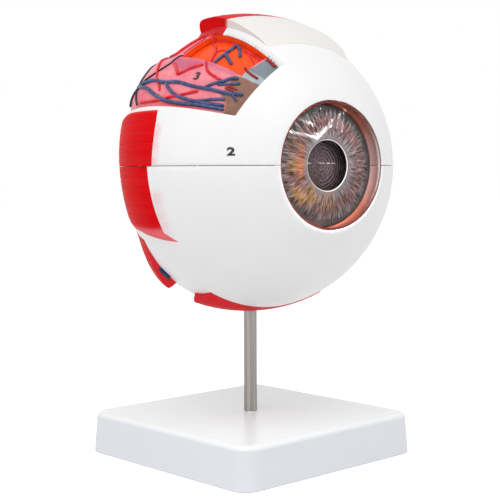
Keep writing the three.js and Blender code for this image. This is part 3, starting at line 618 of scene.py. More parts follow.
# Outline of the window in degrees at a height in the wall: the sill and the front edge are quadratic curves,
# and towards the inside the sill is undercut and the top leans in
def windowOutline(lift):
    depth = min(1, max(0, lift / sclera["inside"]))
    undercut = window["sillUndercut"] * depth
    top = window["top"] - window["topLean"] * depth
    backLow = np.array([window["back"], window["sillBack"] - undercut])
    frontLow = np.array([window["front"], window["sillFront"] - undercut])
    frontHigh = np.array([window["front"], top])
    blockLow = np.array([window["blockEnd"], top])
    blockHigh = np.array([window["blockEnd"], window["blockTop"]])
    knee = np.array(window["knee"], float)
    low = np.array([window["sillLow"][0], window["sillLow"][1] - undercut])
    bow = np.array([window["front"] - window["frontBow"], (frontLow[1] + top) / 2])
    share = np.linspace(0, 1, window["steps"], endpoint=False)[:, None]
    stretches = [(backLow, low, frontLow), (frontLow, bow, frontHigh)]
    corners = (frontHigh, blockLow, blockHigh, knee, backLow)
    stretches += [(a, (a + b) / 2, b) for a, b in zip(corners, corners[1:])]
    curves = [(1 - share) ** 2 * a + 2 * share * (1 - share) * b + share**2 * c for a, b, c in stretches]
    return np.concatenate(curves)


# The outline drawn out by a distance in millimetres, square to itself
def drawnOut(outline, distance):
    stretch = np.sin(np.radians(outline[:, 0]))
    along = np.roll(outline, -1, 0) - np.roll(outline, 1, 0)
    along[:, 1] *= stretch
    along /= np.linalg.norm(along, axis=1, keepdims=True)
    step = np.degrees(distance / globe["radius"])
    return outline + np.stack([-along[:, 1] * step, along[:, 0] * step / stretch], -1)


# The window's cutter: rings of its outline from inside the wall to far outside, with a quarter round for the
# lip, closed by fans of triangles
def cutWindow(piece):
    outline = windowOutline(0)
    fromFront, around = outline.T
    underBlock = (fromFront > window["blockStart"]) & (fromFront < window["blockEnd"] + 0.1)
    lip = np.where(underBlock & (around > window["top"] - 0.1), window["lipUnderBlock"], window["lip"])
    quarter = np.radians(np.linspace(0, window["lipTurn"], 5))
    levels = [(sclera["inside"], 0), (-2 * window["lip"], 0)]
    levels += [((math.sin(a) - 1) * window["lip"], 1 - math.cos(a)) for a in quarter]
    levels.append(window["lipClear"])
    rings = []
    for lift, share in levels:
        ring = drawnOut(windowOutline(lift), share * lip)
        rings.append(globePoint(ring[:, 0], ring[:, 1], lift))
    bottomPoint, bottom, top, topPoint = window["reach"]
    inside, outside = windowOutline(sclera["inside"]), drawnOut(outline, window["lipClear"][1] * lip)
    rings.insert(0, globeCentre + bottom * direction(*inside.T))
    rings.append(globeCentre + top * direction(*outside.T))
    count = len(outline)
    tips = globeCentre + np.array([[bottomPoint], [topPoint]]) * direction(*window["middle"])
    ring = np.arange(count)
    last = (len(rings) - 1) * count
    centre = len(rings) * count
    faces = gridQuads(len(rings), count, closedColumns=True).tolist()
    for first, tip in ((0, centre), (last, centre + 1)):
        faces += np.stack([ring + first, (ring + 1) % count + first, np.full(count, tip)], -1).tolist()
    cutAway(piece, np.concatenate(rings + [tips]), faces)


# Angle at which a shell starts at a distance from the line of sight, or at a reach forward, and that point
def shellStart(lift, distance=None, reach=None):
    angle = angleAt(lift, distance, reach)
    slope = math.tan(math.radians(angle))
    return angle, (distance, distance / slope) if reach is None else (reach * slope, reach)


def pinHoles(side):
    bars = []
    for angle in sclera["pinAngles"]:
        for around in (0, 180):
            x, y, z = globePoint(np.array(angle), np.array(around), sclera["inside"] / 2)
            ends = sorted((z, z + side * sclera["pinDepth"]))
            bottom, top = (ends[0] - 1, ends[1]) if side > 0 else (ends[0], ends[1] + 1)
            bars.append((x, y, sclera["pinHole"], bottom, top))
    return bars


# Soft red beside the front edge of a strap: how far a direction lies ahead of it, faded in over a width
def blushValue(fromFront, around, lift):
    unit = direction(fromFront, around)
    total = np.zeros(len(fromFront))
    for front, low, high, width, share in scleraBlush:
        ahead = -unit @ direction(front + 90.0, np.array(0.0)) * globe["radius"]
        height = unit[:, 2] * globe["radius"]
        within = eased(height, low - 2, low + 2) * (1 - eased(height, high - 1.5, high + 1.5))
        total = np.maximum(total, share * within * (1 - eased(ahead, 0, width)) * (ahead > -4))
    return total


# Angle of the strap's front, lowest and highest place in millimetres, width and strength
scleraBlush = (
    (76.3, 0, 20, 3.5, 0.4),
    (76.2, -33, -12, 4.5, 0.35),
)


# Faces of the walls through a shell: their middles lie well between its two sheets
def wallFaces(piece, inside, outside):
    fromFront, around, lift = overWhite(piece.data.polygons, "center")
    return (lift > inside + 0.1) & (lift < outside - 0.1), fromFront, around


def secondPaint(piece, faces, material):
    piece.data.materials.append(material)
    piece.data.polygons.foreach_set("material_index", faces.astype(np.int32))


blockPaint = {"red": (0.66, 0.006, 0.010), "dark": (0.56, 0.004, 0.009)}


def buildSclera():
    stops = [angleAt(0, distance=sclera["openingRadius"]), lastRow]
    angles = np.append(spaced(stops, sclera["step"]), backRow)
    lifts = (0, sclera["inside"])
    starts = [shellStart(lift, sclera["openingRadius"]) for lift in lifts]
    halves = []
    for side, name, body in ((1, "Upper", "globe_upper"), (-1, "Lower", "globe")):
        points, faces = halfShell(angles, lifts, starts, [], side, (sclera["columns"],))
        piece = addPiece("sclera" + name + "Cast", points, faces, body, "sclera", ["sclera_" + name.lower()])
        softenEdges(piece, sclera["edge"])
        halves.append(piece)
    upper, lower = halves
    cutWindow(upper)
    cutHoles(upper, pinHoles(1), 20)
    cutHoles(lower, [(*rodPlace, sclera["bushHole"], barBottom, barTop)] + pinHoles(-1))
    for piece in halves:
        paintValues(piece, {"blush": blushValue})
        paintPiece(piece, whitePaintMaterial())
    wall, fromFront, around = wallFaces(upper, sclera["inside"], 0.08)
    under = (fromFront > window["redFrom"]) & (fromFront < window["blockEnd"] + 1)
    under &= around > window["redAbove"]
    paint = mottledPaint("blockPaint", blockPaint.values(), (160, 3, 0.35, 0.7), (700, 3, 0.03), 0.34, 0.12)
    secondPaint(upper, wall & under, paint)


buildSclera()
print("white of the eye done")

# Choroid: the shell under the white, with the collar and the ledge that hold the iris

choroid = {
    "outside": -2.9,
    "inside": -5.5,
    "collarFront": 60.5,
    "collarOutside": 30,
    "collarInside": 28.9,
    "ledgeFront": 53.1,
    "ledgeBack": 51.2,
    "ledgeInside": 26.5,
    "recessFront": 54.5,
    "recessBack": 87.5,
    "recessSill": 49,
    "recessTop": 67.5,
    "swell": 2.9,  # rise of the floor towards the back of the window, and between which values it eases in
    "swellAlong": (84, 100),
    "swellOverSill": (23, 32),
    "swellUnderTop": (44, 53),
    "swellFromEdge": (0.8, 7),
    "step": 1.0,
    "lowerStep": 1.8,
    "columns": (44, 20, 70),
    "lowerColumns": 100,
    "rodHole": 9.3,
    "edge": 0.3,
}


# Signed distance in degrees from an outline in angles, negative inside: nearest edge, signed by crossings
def outlineDistance(fromFront, around, outline):
    p = np.stack([fromFront, around * np.sin(np.radians(fromFront))], -1).reshape(-1, 2)
    corners = np.array([(t, a * math.sin(math.radians(t))) for t, a in outline])
    nearest = np.full(len(p), 1e9)
    inside = np.zeros(len(p), bool)
    for a, b in zip(corners, np.roll(corners, -1, axis=0)):
        edge = b - a
        share = np.clip(((p - a) @ edge) / (edge @ edge), 0, 1)
        nearest = np.minimum(nearest, np.linalg.norm(p - a - share[:, None] * edge, axis=-1))
        straddles = (a[1] > p[:, 1]) != (b[1] > p[:, 1])
        crossing = a[0] + (p[:, 1] - a[1]) / (edge[1] if edge[1] else 1e-9) * edge[0]
        inside ^= straddles & (p[:, 0] < crossing)
    return np.where(inside, -nearest, nearest).reshape(np.shape(fromFront))


# The floor stands higher towards the back of the window: eased in along it, over the sill and from its edges
def floorSwell(fromFront, around):
    edge = -outlineDistance(fromFront, around, windowOutline(sclera["inside"]))
    rise = eased(fromFront, *choroid["swellAlong"]) * eased(around, *choroid["swellOverSill"])
    rise *= (1 - eased(around, *choroid["swellUnderTop"])) * eased(edge, *choroid["swellFromEdge"])
    return choroid["swell"] * rise


choroidZones = {
    "brown": [(57, 47), (56.5, 41), (57, 35), (53.5, 32.5), (52, 25), (44, 20), (44, 51), (48, 51), (54, 49)],
    "grey": [(56, 49), (44, 51), (44, 74), (54, 74), (54, 59)],
    "paleGrey": [(56, 48.5), (46, 50.5), (46, 55.5), (54, 54.5)],
    "deep": [
        (91, 46), (90, 49.5), (83, 49), (72.5, 49), (56, 49), (56.5, 47), (68, 47), (72.5, 46.5), (79, 41),
        (85, 42),
    ],
}
choroidPaint = {
    "pink": (0.84, 0.19, 0.25),
    "pale": (0.91, 0.31, 0.35),
    "deep": (0.62, 0.125, 0.21),
    "low": (0.90, 0.13, 0.16),  # near the sill
    "brown": (0.27, 0.135, 0.095),
    "grey": (0.215, 0.245, 0.28),
    "paleGrey": (0.40, 0.47, 0.52),
    "collar": (0.96, 0.30, 0.18),
    # Over the collar's top a darker orange-brown is painted shade, on its nasal side a paler pink is a
    # painted highlight, and on its front lip a dark red-brown line is painted shade of the gap by the white's
    # edge
    "collarTopShade": (0.74, 0.15, 0.05),
    "collarPaintedHighlight": (0.96, 0.60, 0.54),
    "collarGapShade": (0.16, 0.018, 0.01),
}
retinaPaint = {"orange": (0.95, 0.085, 0.006), "deep": (0.84, 0.035, 0.006), "inside": (0.90, 0.22, 0.06)}


def retinaMaterial():
    material, tree, shader = newMaterial("retinaPaint")
    point = objectPoint(tree)
    deep = calculate(tree, "ADD", ownValue(tree, "upperEdge"), swing(tree, noise(tree, point, 60), 0.5))
    colour = mixColour(tree, deep, retinaPaint["orange"], retinaPaint["deep"])
    colour = mixColour(tree, ownValue(tree, "innerFace"), colour, retinaPaint["inside"])
    feed(tree, shader, {
        "Base Color": shaded(tree, colour, patchy(tree, point, 260, 4, 0.3, 0.75, 0.9, 1.06)),
        "Roughness": patchy(tree, point, 120, 3, 0.3, 0.7, 0.28, 0.42),
        "Normal": bump(tree, noise(tree, point, 420, 4), 0.05),
        "Specular IOR Level": 0.15,
    })
    return material


# Zones lie over each other, each with an edge that blurs and wanders; the collar has paints of its own, with
# painted shade over its top, a painted highlight on its nasal side and painted shade on its lip
def choroidMaterial():
    material, tree, shader = newMaterial("choroidPaint")
    point = objectPoint(tree)
    wander = swing(tree, noise(tree, point, 220), 1.05)
    soft = swing(tree, noise(tree, point, 90), 2.8)
    share = patchy(tree, point, 42, 3, 0.35, 0.68)
    colour = mixColour(tree, share, choroidPaint["pink"], choroidPaint["pale"])
    colour = mixColour(tree, ownValue(tree, "low"), colour, choroidPaint["low"])
    zones = (("deep", 2.2, soft), ("brown", 0.7, wander), ("grey", 0.35, wander), ("paleGrey", 0.4, wander))
    for zone, blur, shift in zones:
        edge = calculate(tree, "ADD", ownValue(tree, zone), shift)
        colour = mixColour(tree, easedMask(tree, edge, blur, -blur), colour, choroidPaint[zone])
    colour = shaded(tree, colour, patchy(tree, point, 300, 4, 0.3, 0.75, 0.88, 1.08))
    # The collar's salmon, with its painted highlight, its painted shade and the dark line of painted shade on
    # the lip
    collar = choroidPaint["collar"]
    for value, paint in (("nasalHighlight", "collarPaintedHighlight"), ("collarTopShade", "collarTopShade"), ("rim", "collarGapShade")):
        collar = mixColour(tree, ownValue(tree, value), collar, choroidPaint[paint])
    feed(tree, shader, {
        "Base Color": mixColour(tree, ownValue(tree, "collar"), colour, collar),
        "Roughness": patchy(tree, point, 120, 3, 0.3, 0.7, 0.26, 0.4),
        "Normal": bump(tree, noise(tree, point, 500, 4), 0.05),
        "Specular IOR Level": 0.15,
    })
    return material


# What the paint goes by: distance from each zone's outline, and shares for the collar and the sill
def choroidValues():
    values = {
        zone: (lambda t, a, lift, outline=outline: outlineDistance(t, a, outline))
        for zone, outline in choroidZones.items()
    }
    front = angleAt(choroid["outside"], distance=choroid["collarOutside"]) + 1
    values["collar"] = lambda t, a, lift: ((t < front) | ((t < 36) & (lift < -3.4))).astype(float)
    # Shares of the collar's painted highlight on the nasal side and of its painted shade over the top
    values["nasalHighlight"] = lambda t, a, lift: eased(np.cos(np.radians(a - 180)), 0.7, 1.0)
    values["collarTopShade"] = lambda t, a, lift: eased(np.sin(np.radians(a)), 0.3, 0.9)
    values["low"] = lambda t, a, lift: 0.75 * (1 - eased(a, 24.5, 31)) * eased(t, 60, 66)
    # The collar's front lip takes a dark line of painted shade
    values["rim"] = lambda t, a, lift: ((t < front) & (lift > -1.9)).astype(float)
    return values


def buildChoroid():
    lifts = (choroid["outside"], choroid["inside"])
    starts = [
        shellStart(choroid["outside"], choroid["collarOutside"]),
        shellStart(choroid["inside"], reach=choroid["ledgeBack"]),
    ]
    corners = (
        ("collarOutside", "collarFront"), ("collarInside", "collarFront"), ("collarInside", "ledgeFront"),
        ("ledgeInside", "ledgeFront"), ("ledgeInside", "ledgeBack"),
    )
    between = [(choroid[distance], choroid[reach]) for distance, reach in corners]
    fronts = [starts[0][0], starts[1][0]]
    stops = fronts + [choroid["recessFront"], choroid["recessBack"], 120, lastRow]
    angles = np.append(spaced(stops, choroid["step"]), backRow)
    rows = [int(np.argmin(np.abs(angles - choroid[key]))) for key in ("recessFront", "recessBack")]
    counts = choroid["columns"]
    knots = (choroid["recessSill"], choroid["recessTop"])
    recess = (rows, (counts[0], counts[0] + counts[1]))
    points, faces = halfShell(angles, lifts, starts, between, 1, counts, knots, recess, floorSwell)
    upper = addPiece("choroidUpperShell", points, faces, "inner_upper", "choroid", ["choroid_upper"])
    plain = np.append(spaced(fronts + [lastRow], choroid["lowerStep"]), backRow)
    points, faces = halfShell(plain, lifts, starts, between, -1, (choroid["lowerColumns"],))
    lower = addPiece("choroidLowerShell", points, faces, "inner_lower", "choroid", ["choroid_lower"])
    softenEdges(lower, choroid["edge"])
    cutHoles(lower, [(*rodPlace, choroid["rodHole"], barBottom, barTop)])
    material = choroidMaterial()
    for piece in (upper, lower):
        paintValues(piece, choroidValues())
        paintPiece(piece, material)
    wall, fromFront, around = wallFaces(upper, choroid["inside"], choroid["outside"])
    recessed = (fromFront > choroid["recessFront"] - 1) & (fromFront < choroid["recessBack"] + 1)
    recessed &= (around > choroid["recessSill"] + 1) & (around < choroid["recessTop"] + 1)
    secondPaint(upper, wall & recessed, retinaMaterial())
    softenEdges(upper, choroid["edge"])


buildChoroid()
print("choroid done")

# Retina: the thin orange shell inside it

retina = {
    "outside": -5.8,
    "inside": -7.6,
    "front": 43.6,
    "leadIn": 0.6,
    "step": 1.8,
    "columns": 100,
    "rodHole": 5.5,
}


def buildRetina():
    lifts = (retina["outside"], retina["inside"])
    front = retina["front"]
    starts = [shellStart(lift, reach=front - back) for lift, back in zip(lifts, (retina["leadIn"], 0))]
    between = [(shellStart(retina["outside"], reach=front)[1][0] - retina["leadIn"], front)]
    angles = np.append(spaced([min(angle for angle, _ in starts), lastRow], retina["step"]), backRow)
    material = retinaMaterial()
    for side, half in ((1, "upper"), (-1, "lower")):
        points, faces = halfShell(angles, lifts, starts, between, side, (retina["columns"],))
        name = "retina" + half.capitalize() + "Shell"
        piece = addPiece(name, points, faces, "inner_" + half, "retina", ["retina_" + half])
        if side < 0:
            cutHoles(piece, [(*rodPlace, retina["rodHole"], barBottom, barTop)])
        paintValues(piece, {
            "upperEdge": lambda t, a, lift: 0.75 * eased(a, 61, 69) * eased(t, 50, 60),
            "innerFace": lambda t, a, lift: (lift < -6.7).astype(float),
        })
        paintPiece(piece, material)


buildRetina()
print("retina done")

# Iris: a domed disc with a round pupil, moulded into radial fibres

iris = {
    "rim": 55.0,
    "doming": 2.8,
    "thickness": 1.6,
    "pupil": 11.8,
    "outside": 28.6,
    "bevel": 0.5,
    "fibres": ((47, 0.05), (83, 0.05), (131, 0.04), (173, 0.03)),
    "rings": ((17.2, 1.5, 0.22), (21.5, 2.6, 0.14)),  # distance, width and height of the raised rings
    "columns": 720,
    "step": 0.42,
    "outerEdge": 0.2,
}


# 0 at the pupil and 1 at the outer edge
def irisShare(distance):
    return (distance - iris["pupil"]) / (iris["outside"] - iris["pupil"])


# Height over the rim: a parabola, with rings as bells and fibres as cosines that fade at both edges
def irisHeight(distance, around):
    share = irisShare(distance)
    height = iris["doming"] * (1 - share**2)
    for place, width, rise in iris["rings"]:
        height = height + rise * np.exp(-(((distance - place) / width) ** 2))
    fade = eased(share, 0.02, 0.15) * (1 - eased(share, 0.8, 0.98))
    for n, (count, rise) in enumerate(iris["fibres"]):
        phase = n + 1.2 * np.sin(share * (3 + n))
        height = height + fade * rise * np.cos(np.radians(count * around) + phase)
    return height


irisPaint = {
    # By the pupil the iris is painted a pale grey haze: a painted reflection
    "haze": (0.159, 0.129, 0.138),
    "inner": (0.125, 0.072, 0.0701),
    "middle": (0.15, 0.0762, 0.0701),
    "outer": (0.119, 0.101, 0.107),
    "margin": (0.078, 0.078, 0.082),
    "rim": (0.02, 0.017, 0.016),
    "pale": (0.401, 0.304, 0.295),
    "dark": (0.012, 0.007, 0.006),
    "gold": (0.293, 0.16, 0.057),
    "orange": (0.401, 0.104, 0.0326),
    # A near-white ring at the pupil's edge is a painted highlight on its rim
    "pupilEdgeHighlight": (0.93, 0.92, 0.90),
}
irisStops = (
    (0.0, "haze"), (0.2, "haze"), (0.34, "inner"), (0.55, "middle"), (0.74, "outer"), (0.86, "margin"),
    (1.0, "margin"),
)
# Fineness round the disc, change along it, and detail
irisFibres = {"fine": (34, 0.22, 3), "broad": (9, 0.16, 4), "patches": (2.2, 0.10, 3)}


# The pattern runs on the unit vector round the line of sight and on the distance from it, so that fibres
# point at the pupil and have no join
def irisMaterial():
    material, tree, shader = newMaterial("irisPaint")
    _, flat, length = aboutAxis(tree)
    distance = times(tree, length, 1 / mm)
    unit = vectorMath(tree, "NORMALIZE", flat)
    limits = {"Value": distance, "From Min": iris["pupil"], "From Max": iris["outside"]}
    share = addNode(tree, "ShaderNodeMapRange", limits).outputs[0]

    def fibreNoise(turns, along, detail):
        radial = addNode(tree, "ShaderNodeCombineXYZ", {"Y": times(tree, distance, along)}).outputs[0]
        wound = vectorMath(tree, "MULTIPLY", unit, (turns, turns, turns))
        return noise(tree, vectorMath(tree, "ADD", wound, radial), 1.0, detail)

    def mask(value, low, high, start=0.0, end=1.0):
        return easedMask(tree, value, low, high, start, end)

    fine, broad, patches = (fibreNoise(*irisFibres[name]) for name in ("fine", "broad", "patches"))
    place = calculate(tree, "ADD", share, swing(tree, broad, 0.22), clamp=True)
    ramp = addNode(tree, "ShaderNodeValToRGB", {"Fac": place})
    while len(ramp.color_ramp.elements) < len(irisStops):
        ramp.color_ramp.elements.new(0.5)
    for element, (position, name) in zip(ramp.color_ramp.elements, irisStops):
        element.position = position
        element.color = (*irisPaint[name], 1)
    side = addNode(tree, "ShaderNodeSeparateXYZ", {"Vector": unit}).outputs
    lean = calculate(tree, "ADD", times(tree, side["X"], -0.8), times(tree, side["Z"], -0.5))
    left = mask(lean, 0.1, 0.95)
    beside = mask(times(tree, side["X"], -1.0), 0.75, 1.0)
    fromRing = calculate(tree, "ABSOLUTE", calculate(tree, "SUBTRACT", share, 0.27))
    strands = times(tree, mask(share, 0.03, 0.2), mask(share, 0.95, 0.78))
    layers = (
        ("gold", times(tree, left, mask(patches, 0.42, 0.62), mask(share, 0.85, 0.6))),
        ("orange", times(tree, beside, mask(fromRing, 0.2, 0.02), 0.8)),
        ("pale", times(tree, mask(fine, 0.52, 0.70), strands, 0.62)),
        ("dark", times(tree, mask(fine, 0.50, 0.34), strands, 0.85)),
        ("dark", times(tree, mask(broad, 0.46, 0.32), mask(left, 0.1, 0.8, 0.25, 0.95), strands)),
        ("rim", mask(share, 0.955, 1.0)),
        ("dark", mask(share, 0.008, 0.003)),
        # the painted highlight round the pupil's edge
        ("pupilEdgeHighlight", times(tree, mask(share, 0.024, 0.018), mask(share, 0.003, 0.008))),
    )
    colour = ramp.outputs["Color"]
    for name, part in layers:
        colour = mixColour(tree, part, colour, irisPaint[name])
    feed(tree, shader, {
        "Base Color": colour,
        "Roughness": mask(broad, 0.3, 0.7, 0.3, 0.5),
        "Normal": bump(tree, fine, 0.10),
        "Specular IOR Level": 0.12,
    })
    return material


def buildIris():
    around = np.linspace(0, 360, iris["columns"], endpoint=False)[None, :]
    pupil, outside, bevel, outerEdge = (iris[key] for key in ("pupil", "outside", "bevel", "outerEdge"))
    face = np.concatenate([
        [pupil, pupil + 0.3 * bevel], spaced([pupil + bevel, outside - outerEdge, outside], iris["step"]),
    ])[:, None]
    drop = np.zeros_like(face)
    drop[0], drop[1], drop[-1] = -bevel, -0.5 * bevel, -outerEdge
    front = iris["rim"] + irisHeight(face, around) + drop
    back = face[::-6]
    backReach = iris["rim"] + iris["doming"] * (1 - irisShare(back) ** 2) - iris["thickness"] + 0 * around
    distance = np.concatenate([face, back])
    points = globeCentre + turned(distance, np.concatenate([front, backReach]), around)
    faces = [gridQuads(len(distance), iris["columns"], closedColumns=True, closedRows=True)]
    piece = addPiece("irisDisc", points, faces, "inner_lower", "iris", ["iris"], 50)
    paintPiece(piece, irisMaterial())


buildIris()
print("iris done")

# Clear pieces: the dome, the lens and the body behind it

cornea = {
    "apex": 73.6,
    "seat": 60.8,
    "curve": 44,
    "thickness": 1.5,
    "outside": 30.0,
    "bending": 1.05,  # refractive index of a wall that hardly bends what lies behind it
    "columns": 160,
    "rows": 48,
}
# Reflections of small lamps on the dome: first and last pixel, how many, their width in pixels, and how
# bright they show, where 1 is white
glints = {
    "bar": {"from": (346, 108), "to": (315, 140), "count": 12, "width": 3.2, "brightness": 12},
    "leftDashes": {"from": (290, 131), "to": (316, 137.5), "count": 8, "width": 2, "brightness": 9},
    "upperDashes": {"from": (299, 118.5), "to": (314, 125), "count": 5, "width": 1.8, "brightness": 8},
    "spark": {"from": (315, 106.5), "to": (321, 110), "count": 2, "width": 1.6, "brightness": 9},
    "haze": {"from": (325, 112), "to": (348, 136), "count": 1, "width": 5, "brightness": 1.0},
}
glintReach = 1.2  # metres from the dome to the lamps
glintHalf = 0.33  # half of what a lamp fills of the step to the next
lens = {
    "front": 53.1,
    "back": 32.9,
    "radius": 27,
    "frontCurve": 60,
    "backCurve": 36,
    "groove": 0.06,
    "pitch": 2.4,
    "grooveEnd": (25, 27),
    "columns": 144,
    "rows": 150,
}
lensPaint = {
    # The milky rings are partly the lens's own tone and partly a painted sheen of light on its turned rings
    "milkAndSheen": (0.25, 0.185, 0.198),
    "dark": (0.105, 0.07, 0.077),
    # Near-white painted highlight across the lens
    "line": (0.85, 0.83, 0.80),
    "clear": (0.80, 0.74, 0.73),
}
lensPattern = {
    # The rings' painted sheen is strongest towards +X
    "pitch": 1.7,  # of the rings, which fade from one side to the other
    "fade": (-4, 5),
    # Height, thinness and ends of the painted highlight line
    "highlightHeight": 1.1,
    "highlightThin": (0.34, 0.12),
    "highlightEnds": (10, 7),
    "share": 0.35,  # how much of the lens is glass
}
vitreous = {
    "outside": -7.9,
    "facet": 32.6,
    "leadIn": 0.6,
    "step": 2.2,
    "columns": 144,
    "rodHole": 5.5,
    "rodTop": 89.8,
    "bending": 1.3,
}
clearPaint = {"dome": (0.985, 0.99, 0.99), "body": (0.93, 0.96, 0.97)}


# Clear plastic that lets the lamps through to what it covers
def clearMaterial(name, colour, bending):
    material, tree, shader = newMaterial(name)
    feed(tree, shader, {
        "Base Color": (*colour, 1),
        "IOR": bending,
        "Transmission Weight": 1.0,
        "Specular IOR Level": 0.5,
        "Roughness": patchy(tree, objectPoint(tree), 90, 2, 0.3, 0.7, 0.03, 0.045),
    })
    passing = addNode(tree, "ShaderNodeBsdfTransparent", {"Color": (*colour, 1)}).outputs[0]
    shadow = addNode(tree, "ShaderNodeLightPath").outputs["Is Shadow Ray"]
    setSurface(tree, mixShader(tree, shadow, shader.outputs[0], passing))
    return material


# A closed body of revolution about the line of sight from a profile of distances and reaches
def turnedPiece(name, distance, reach, columns, *place):
    around = np.linspace(0, 360, columns, endpoint=False)[None, :]
    points = settled(turned(distance[:, None], reach[:, None], around))
    return addPiece(name, points, [gridQuads(len(distance), columns, closedColumns=True)], *place)


# A dome of even thickness: two caps of spheres about one centre, joined by a level rim
def buildCornea():
    outside, inside = cornea["outside"], cornea["outside"] - cornea["thickness"]
    outerCurve, innerCurve = cornea["curve"], cornea["curve"] - cornea["thickness"]
    outer = outside * np.linspace(0, 1, cornea["rows"])
    inner = inside * np.linspace(1, 0, cornea["rows"])
    outerReach = cornea["apex"] - outerCurve + np.sqrt(outerCurve**2 - outer**2)
    innerReach = cornea["apex"] - outerCurve + np.sqrt(innerCurve**2 - inner**2)
    distance = np.concatenate([outer, [outside, inside], inner])
    reach = np.concatenate([outerReach, [cornea["seat"], cornea["seat"]], innerReach])
    place = ("cornea_dome", "cornea", ["cornea"], 30)
    piece = turnedPiece("corneaDome", distance, reach, cornea["columns"], *place)
    paintPiece(piece, clearMaterial("clearDome", clearPaint["dome"], cornea["bending"]))
    return piece


# A biconvex lens: two caps with fine turned grooves, whose depth is a cosine of the distance
def buildLens():
    out = np.linspace(0, lens["radius"], lens["rows"])
    fade = 1 - eased(out, *lens["grooveEnd"])
    groove = lens["groove"] * (np.cos(2 * np.pi * out / lens["pitch"]) - 1) * fade
    front = lens["front"] - lens["frontCurve"] + np.sqrt(lens["frontCurve"] ** 2 - out**2) + groove
    back = lens["back"] + lens["backCurve"] - np.sqrt(lens["backCurve"] ** 2 - out**2)
    distance = np.concatenate([out, out[::-3]])
    reach = np.concatenate([front, back[::-3]])
    piece = turnedPiece("lensBody", distance, reach, lens["columns"], "lens_body", "lens", ["lens"], 50)
    paintPiece(piece, lensMaterial())


# Rings from a sine of the distance in a milky colour, a painted sheen that grows towards one side, and a
# painted highlight: a thin broken line of light across the middle
def lensMaterial():
    material, tree, shader = newMaterial("lensPlastic")
    moved, _, distance = aboutAxis(tree)
    place = addNode(tree, "ShaderNodeSeparateXYZ", {"Vector": moved}).outputs

    def mask(value, limits, start=0.0):
        return easedMask(tree, value, limits[0] * mm, limits[1] * mm, start)

    wave = calculate(tree, "SINE", times(tree, distance, 2 * math.pi / (lensPattern["pitch"] * mm)))
    # milky rings with their painted sheen, strongest towards +X
    ringSheen = times(tree, easedMask(tree, wave, 0.5, 1.0), mask(place["X"], lensPattern["fade"], 0.25), 0.8)
    colour = mixColour(tree, ringSheen, lensPaint["dark"], lensPaint["milkAndSheen"])
    offHighlight = calculate(tree, "SUBTRACT", place["Z"], lensPattern["highlightHeight"] * mm)
    broken = patchy(tree, moved, 420, 2, 0.47, 0.52)
    thin = mask(calculate(tree, "ABSOLUTE", offHighlight), lensPattern["highlightThin"])
    # the painted highlight line
    line = times(tree, thin, broken, mask(distance, lensPattern["highlightEnds"]))
    feed(tree, shader, {
        "Base Color": mixColour(tree, line, colour, lensPaint["line"]),
        "Roughness": 0.2,
        "IOR": 1.45,
        "Specular IOR Level": 0.1,
    })
    inputs = {"Color": (*lensPaint["clear"], 1), "Roughness": 0.1, "IOR": 1.1}
    glass = addNode(tree, "ShaderNodeBsdfGlass", inputs).outputs[0]
    setSurface(tree, mixShader(tree, lensPattern["share"], shader.outputs[0], glass))
    return material


def buildVitreous():
    facet, leadIn = vitreous["facet"], vitreous["leadIn"]
    edge = shellStart(vitreous["outside"], reach=facet)[1][0] - leadIn
    angle = angleAt(vitreous["outside"], reach=facet - leadIn)
    angles = np.append(spaced([angle, lastRow], vitreous["step"]), 179.999)
    radius = plainRadius(angles) + vitreous["outside"]
    distance = np.concatenate([[0, edge], radius * np.sin(np.radians(angles))])
    reach = np.concatenate([[facet, facet], radius * np.cos(np.radians(angles))])
    place = ("clear_body", "vitreous", ["vitreous_body"], 30)
    piece = turnedPiece("vitreousBall", distance, reach, vitreous["columns"], *place)
    cutHoles(piece, [(*rodPlace, vitreous["rodHole"], barBottom, vitreous["rodTop"])])
    paintPiece(piece, clearMaterial("clearBody", clearPaint["body"], vitreous["bending"]))


# Where the dome mirrors a pixel's line of sight, and which way
def mirroredWay(pixel):
    sight = sightThrough(pixel)
    eye = Vector(camera["position"])
    middle = Vector(globe["centre"]) - Vector((0, cornea["apex"] - cornea["curve"], 0))
    along = (middle - eye).dot(sight)
    apart = (middle - eye).length_squared - along**2
    spot = eye + sight * (along - math.sqrt(max(0, cornea["curve"] ** 2 - apart)))
    normal = (spot - middle).normalized()
    return spot * mm, sight - 2 * sight.dot(normal) * normal, -sight.dot(normal)


# Share of light that both faces of the dome's wall mirror: it grows with the fifth power of 1 - cosine
def mirroredShare(cosine):
    square = ((cornea["bending"] - 1) / (cornea["bending"] + 1)) ** 2
    return 2 * (square + (1 - square) * (1 - cosine) ** 5)


# A row of small lamps that only the dome receives, each as large as its reflection is on the dome
def addGlints(dome):
    receivers = bpy.data.collections.new("domeOnly")
    receivers.objects.link(dome)
    for name, glint in glints.items():
        first, last = Vector(glint["from"]), Vector(glint["to"])
        step = (last - first) / glint["count"]
        square = Vector((-step.y, step.x)).normalized() * glint["width"] / 2
        for n in range(glint["count"]):
            middle = first + step * (n + 0.5)
            spot, way, cosine = mirroredWay(middle)
            along = mirroredWay(middle + step * glintHalf)[1] - mirroredWay(middle - step * glintHalf)[1]
            across = mirroredWay(middle + square)[1] - mirroredWay(middle - square)[1]
            sides = along.length * glintReach, across.length * glintReach
            power = glint["brightness"] / mirroredShare(cosine) * math.pi * sides[0] * sides[1]
            lamp = newLamp(name, *sides, power)
            lamp.data.cycles.max_bounces = 1
            x = (along - along.dot(way) * way).normalized()
            turn = Matrix((x, way.cross(x), way)).transposed().to_4x4()
            lamp.matrix_world = Matrix.Translation(spot + way * glintReach) @ turn
            lamp.light_linking.receiver_collection = receivers


addGlints(buildCornea())
buildLens()
buildVitreous()
print("clear pieces done")

# Folded ring round the lens, in two halves

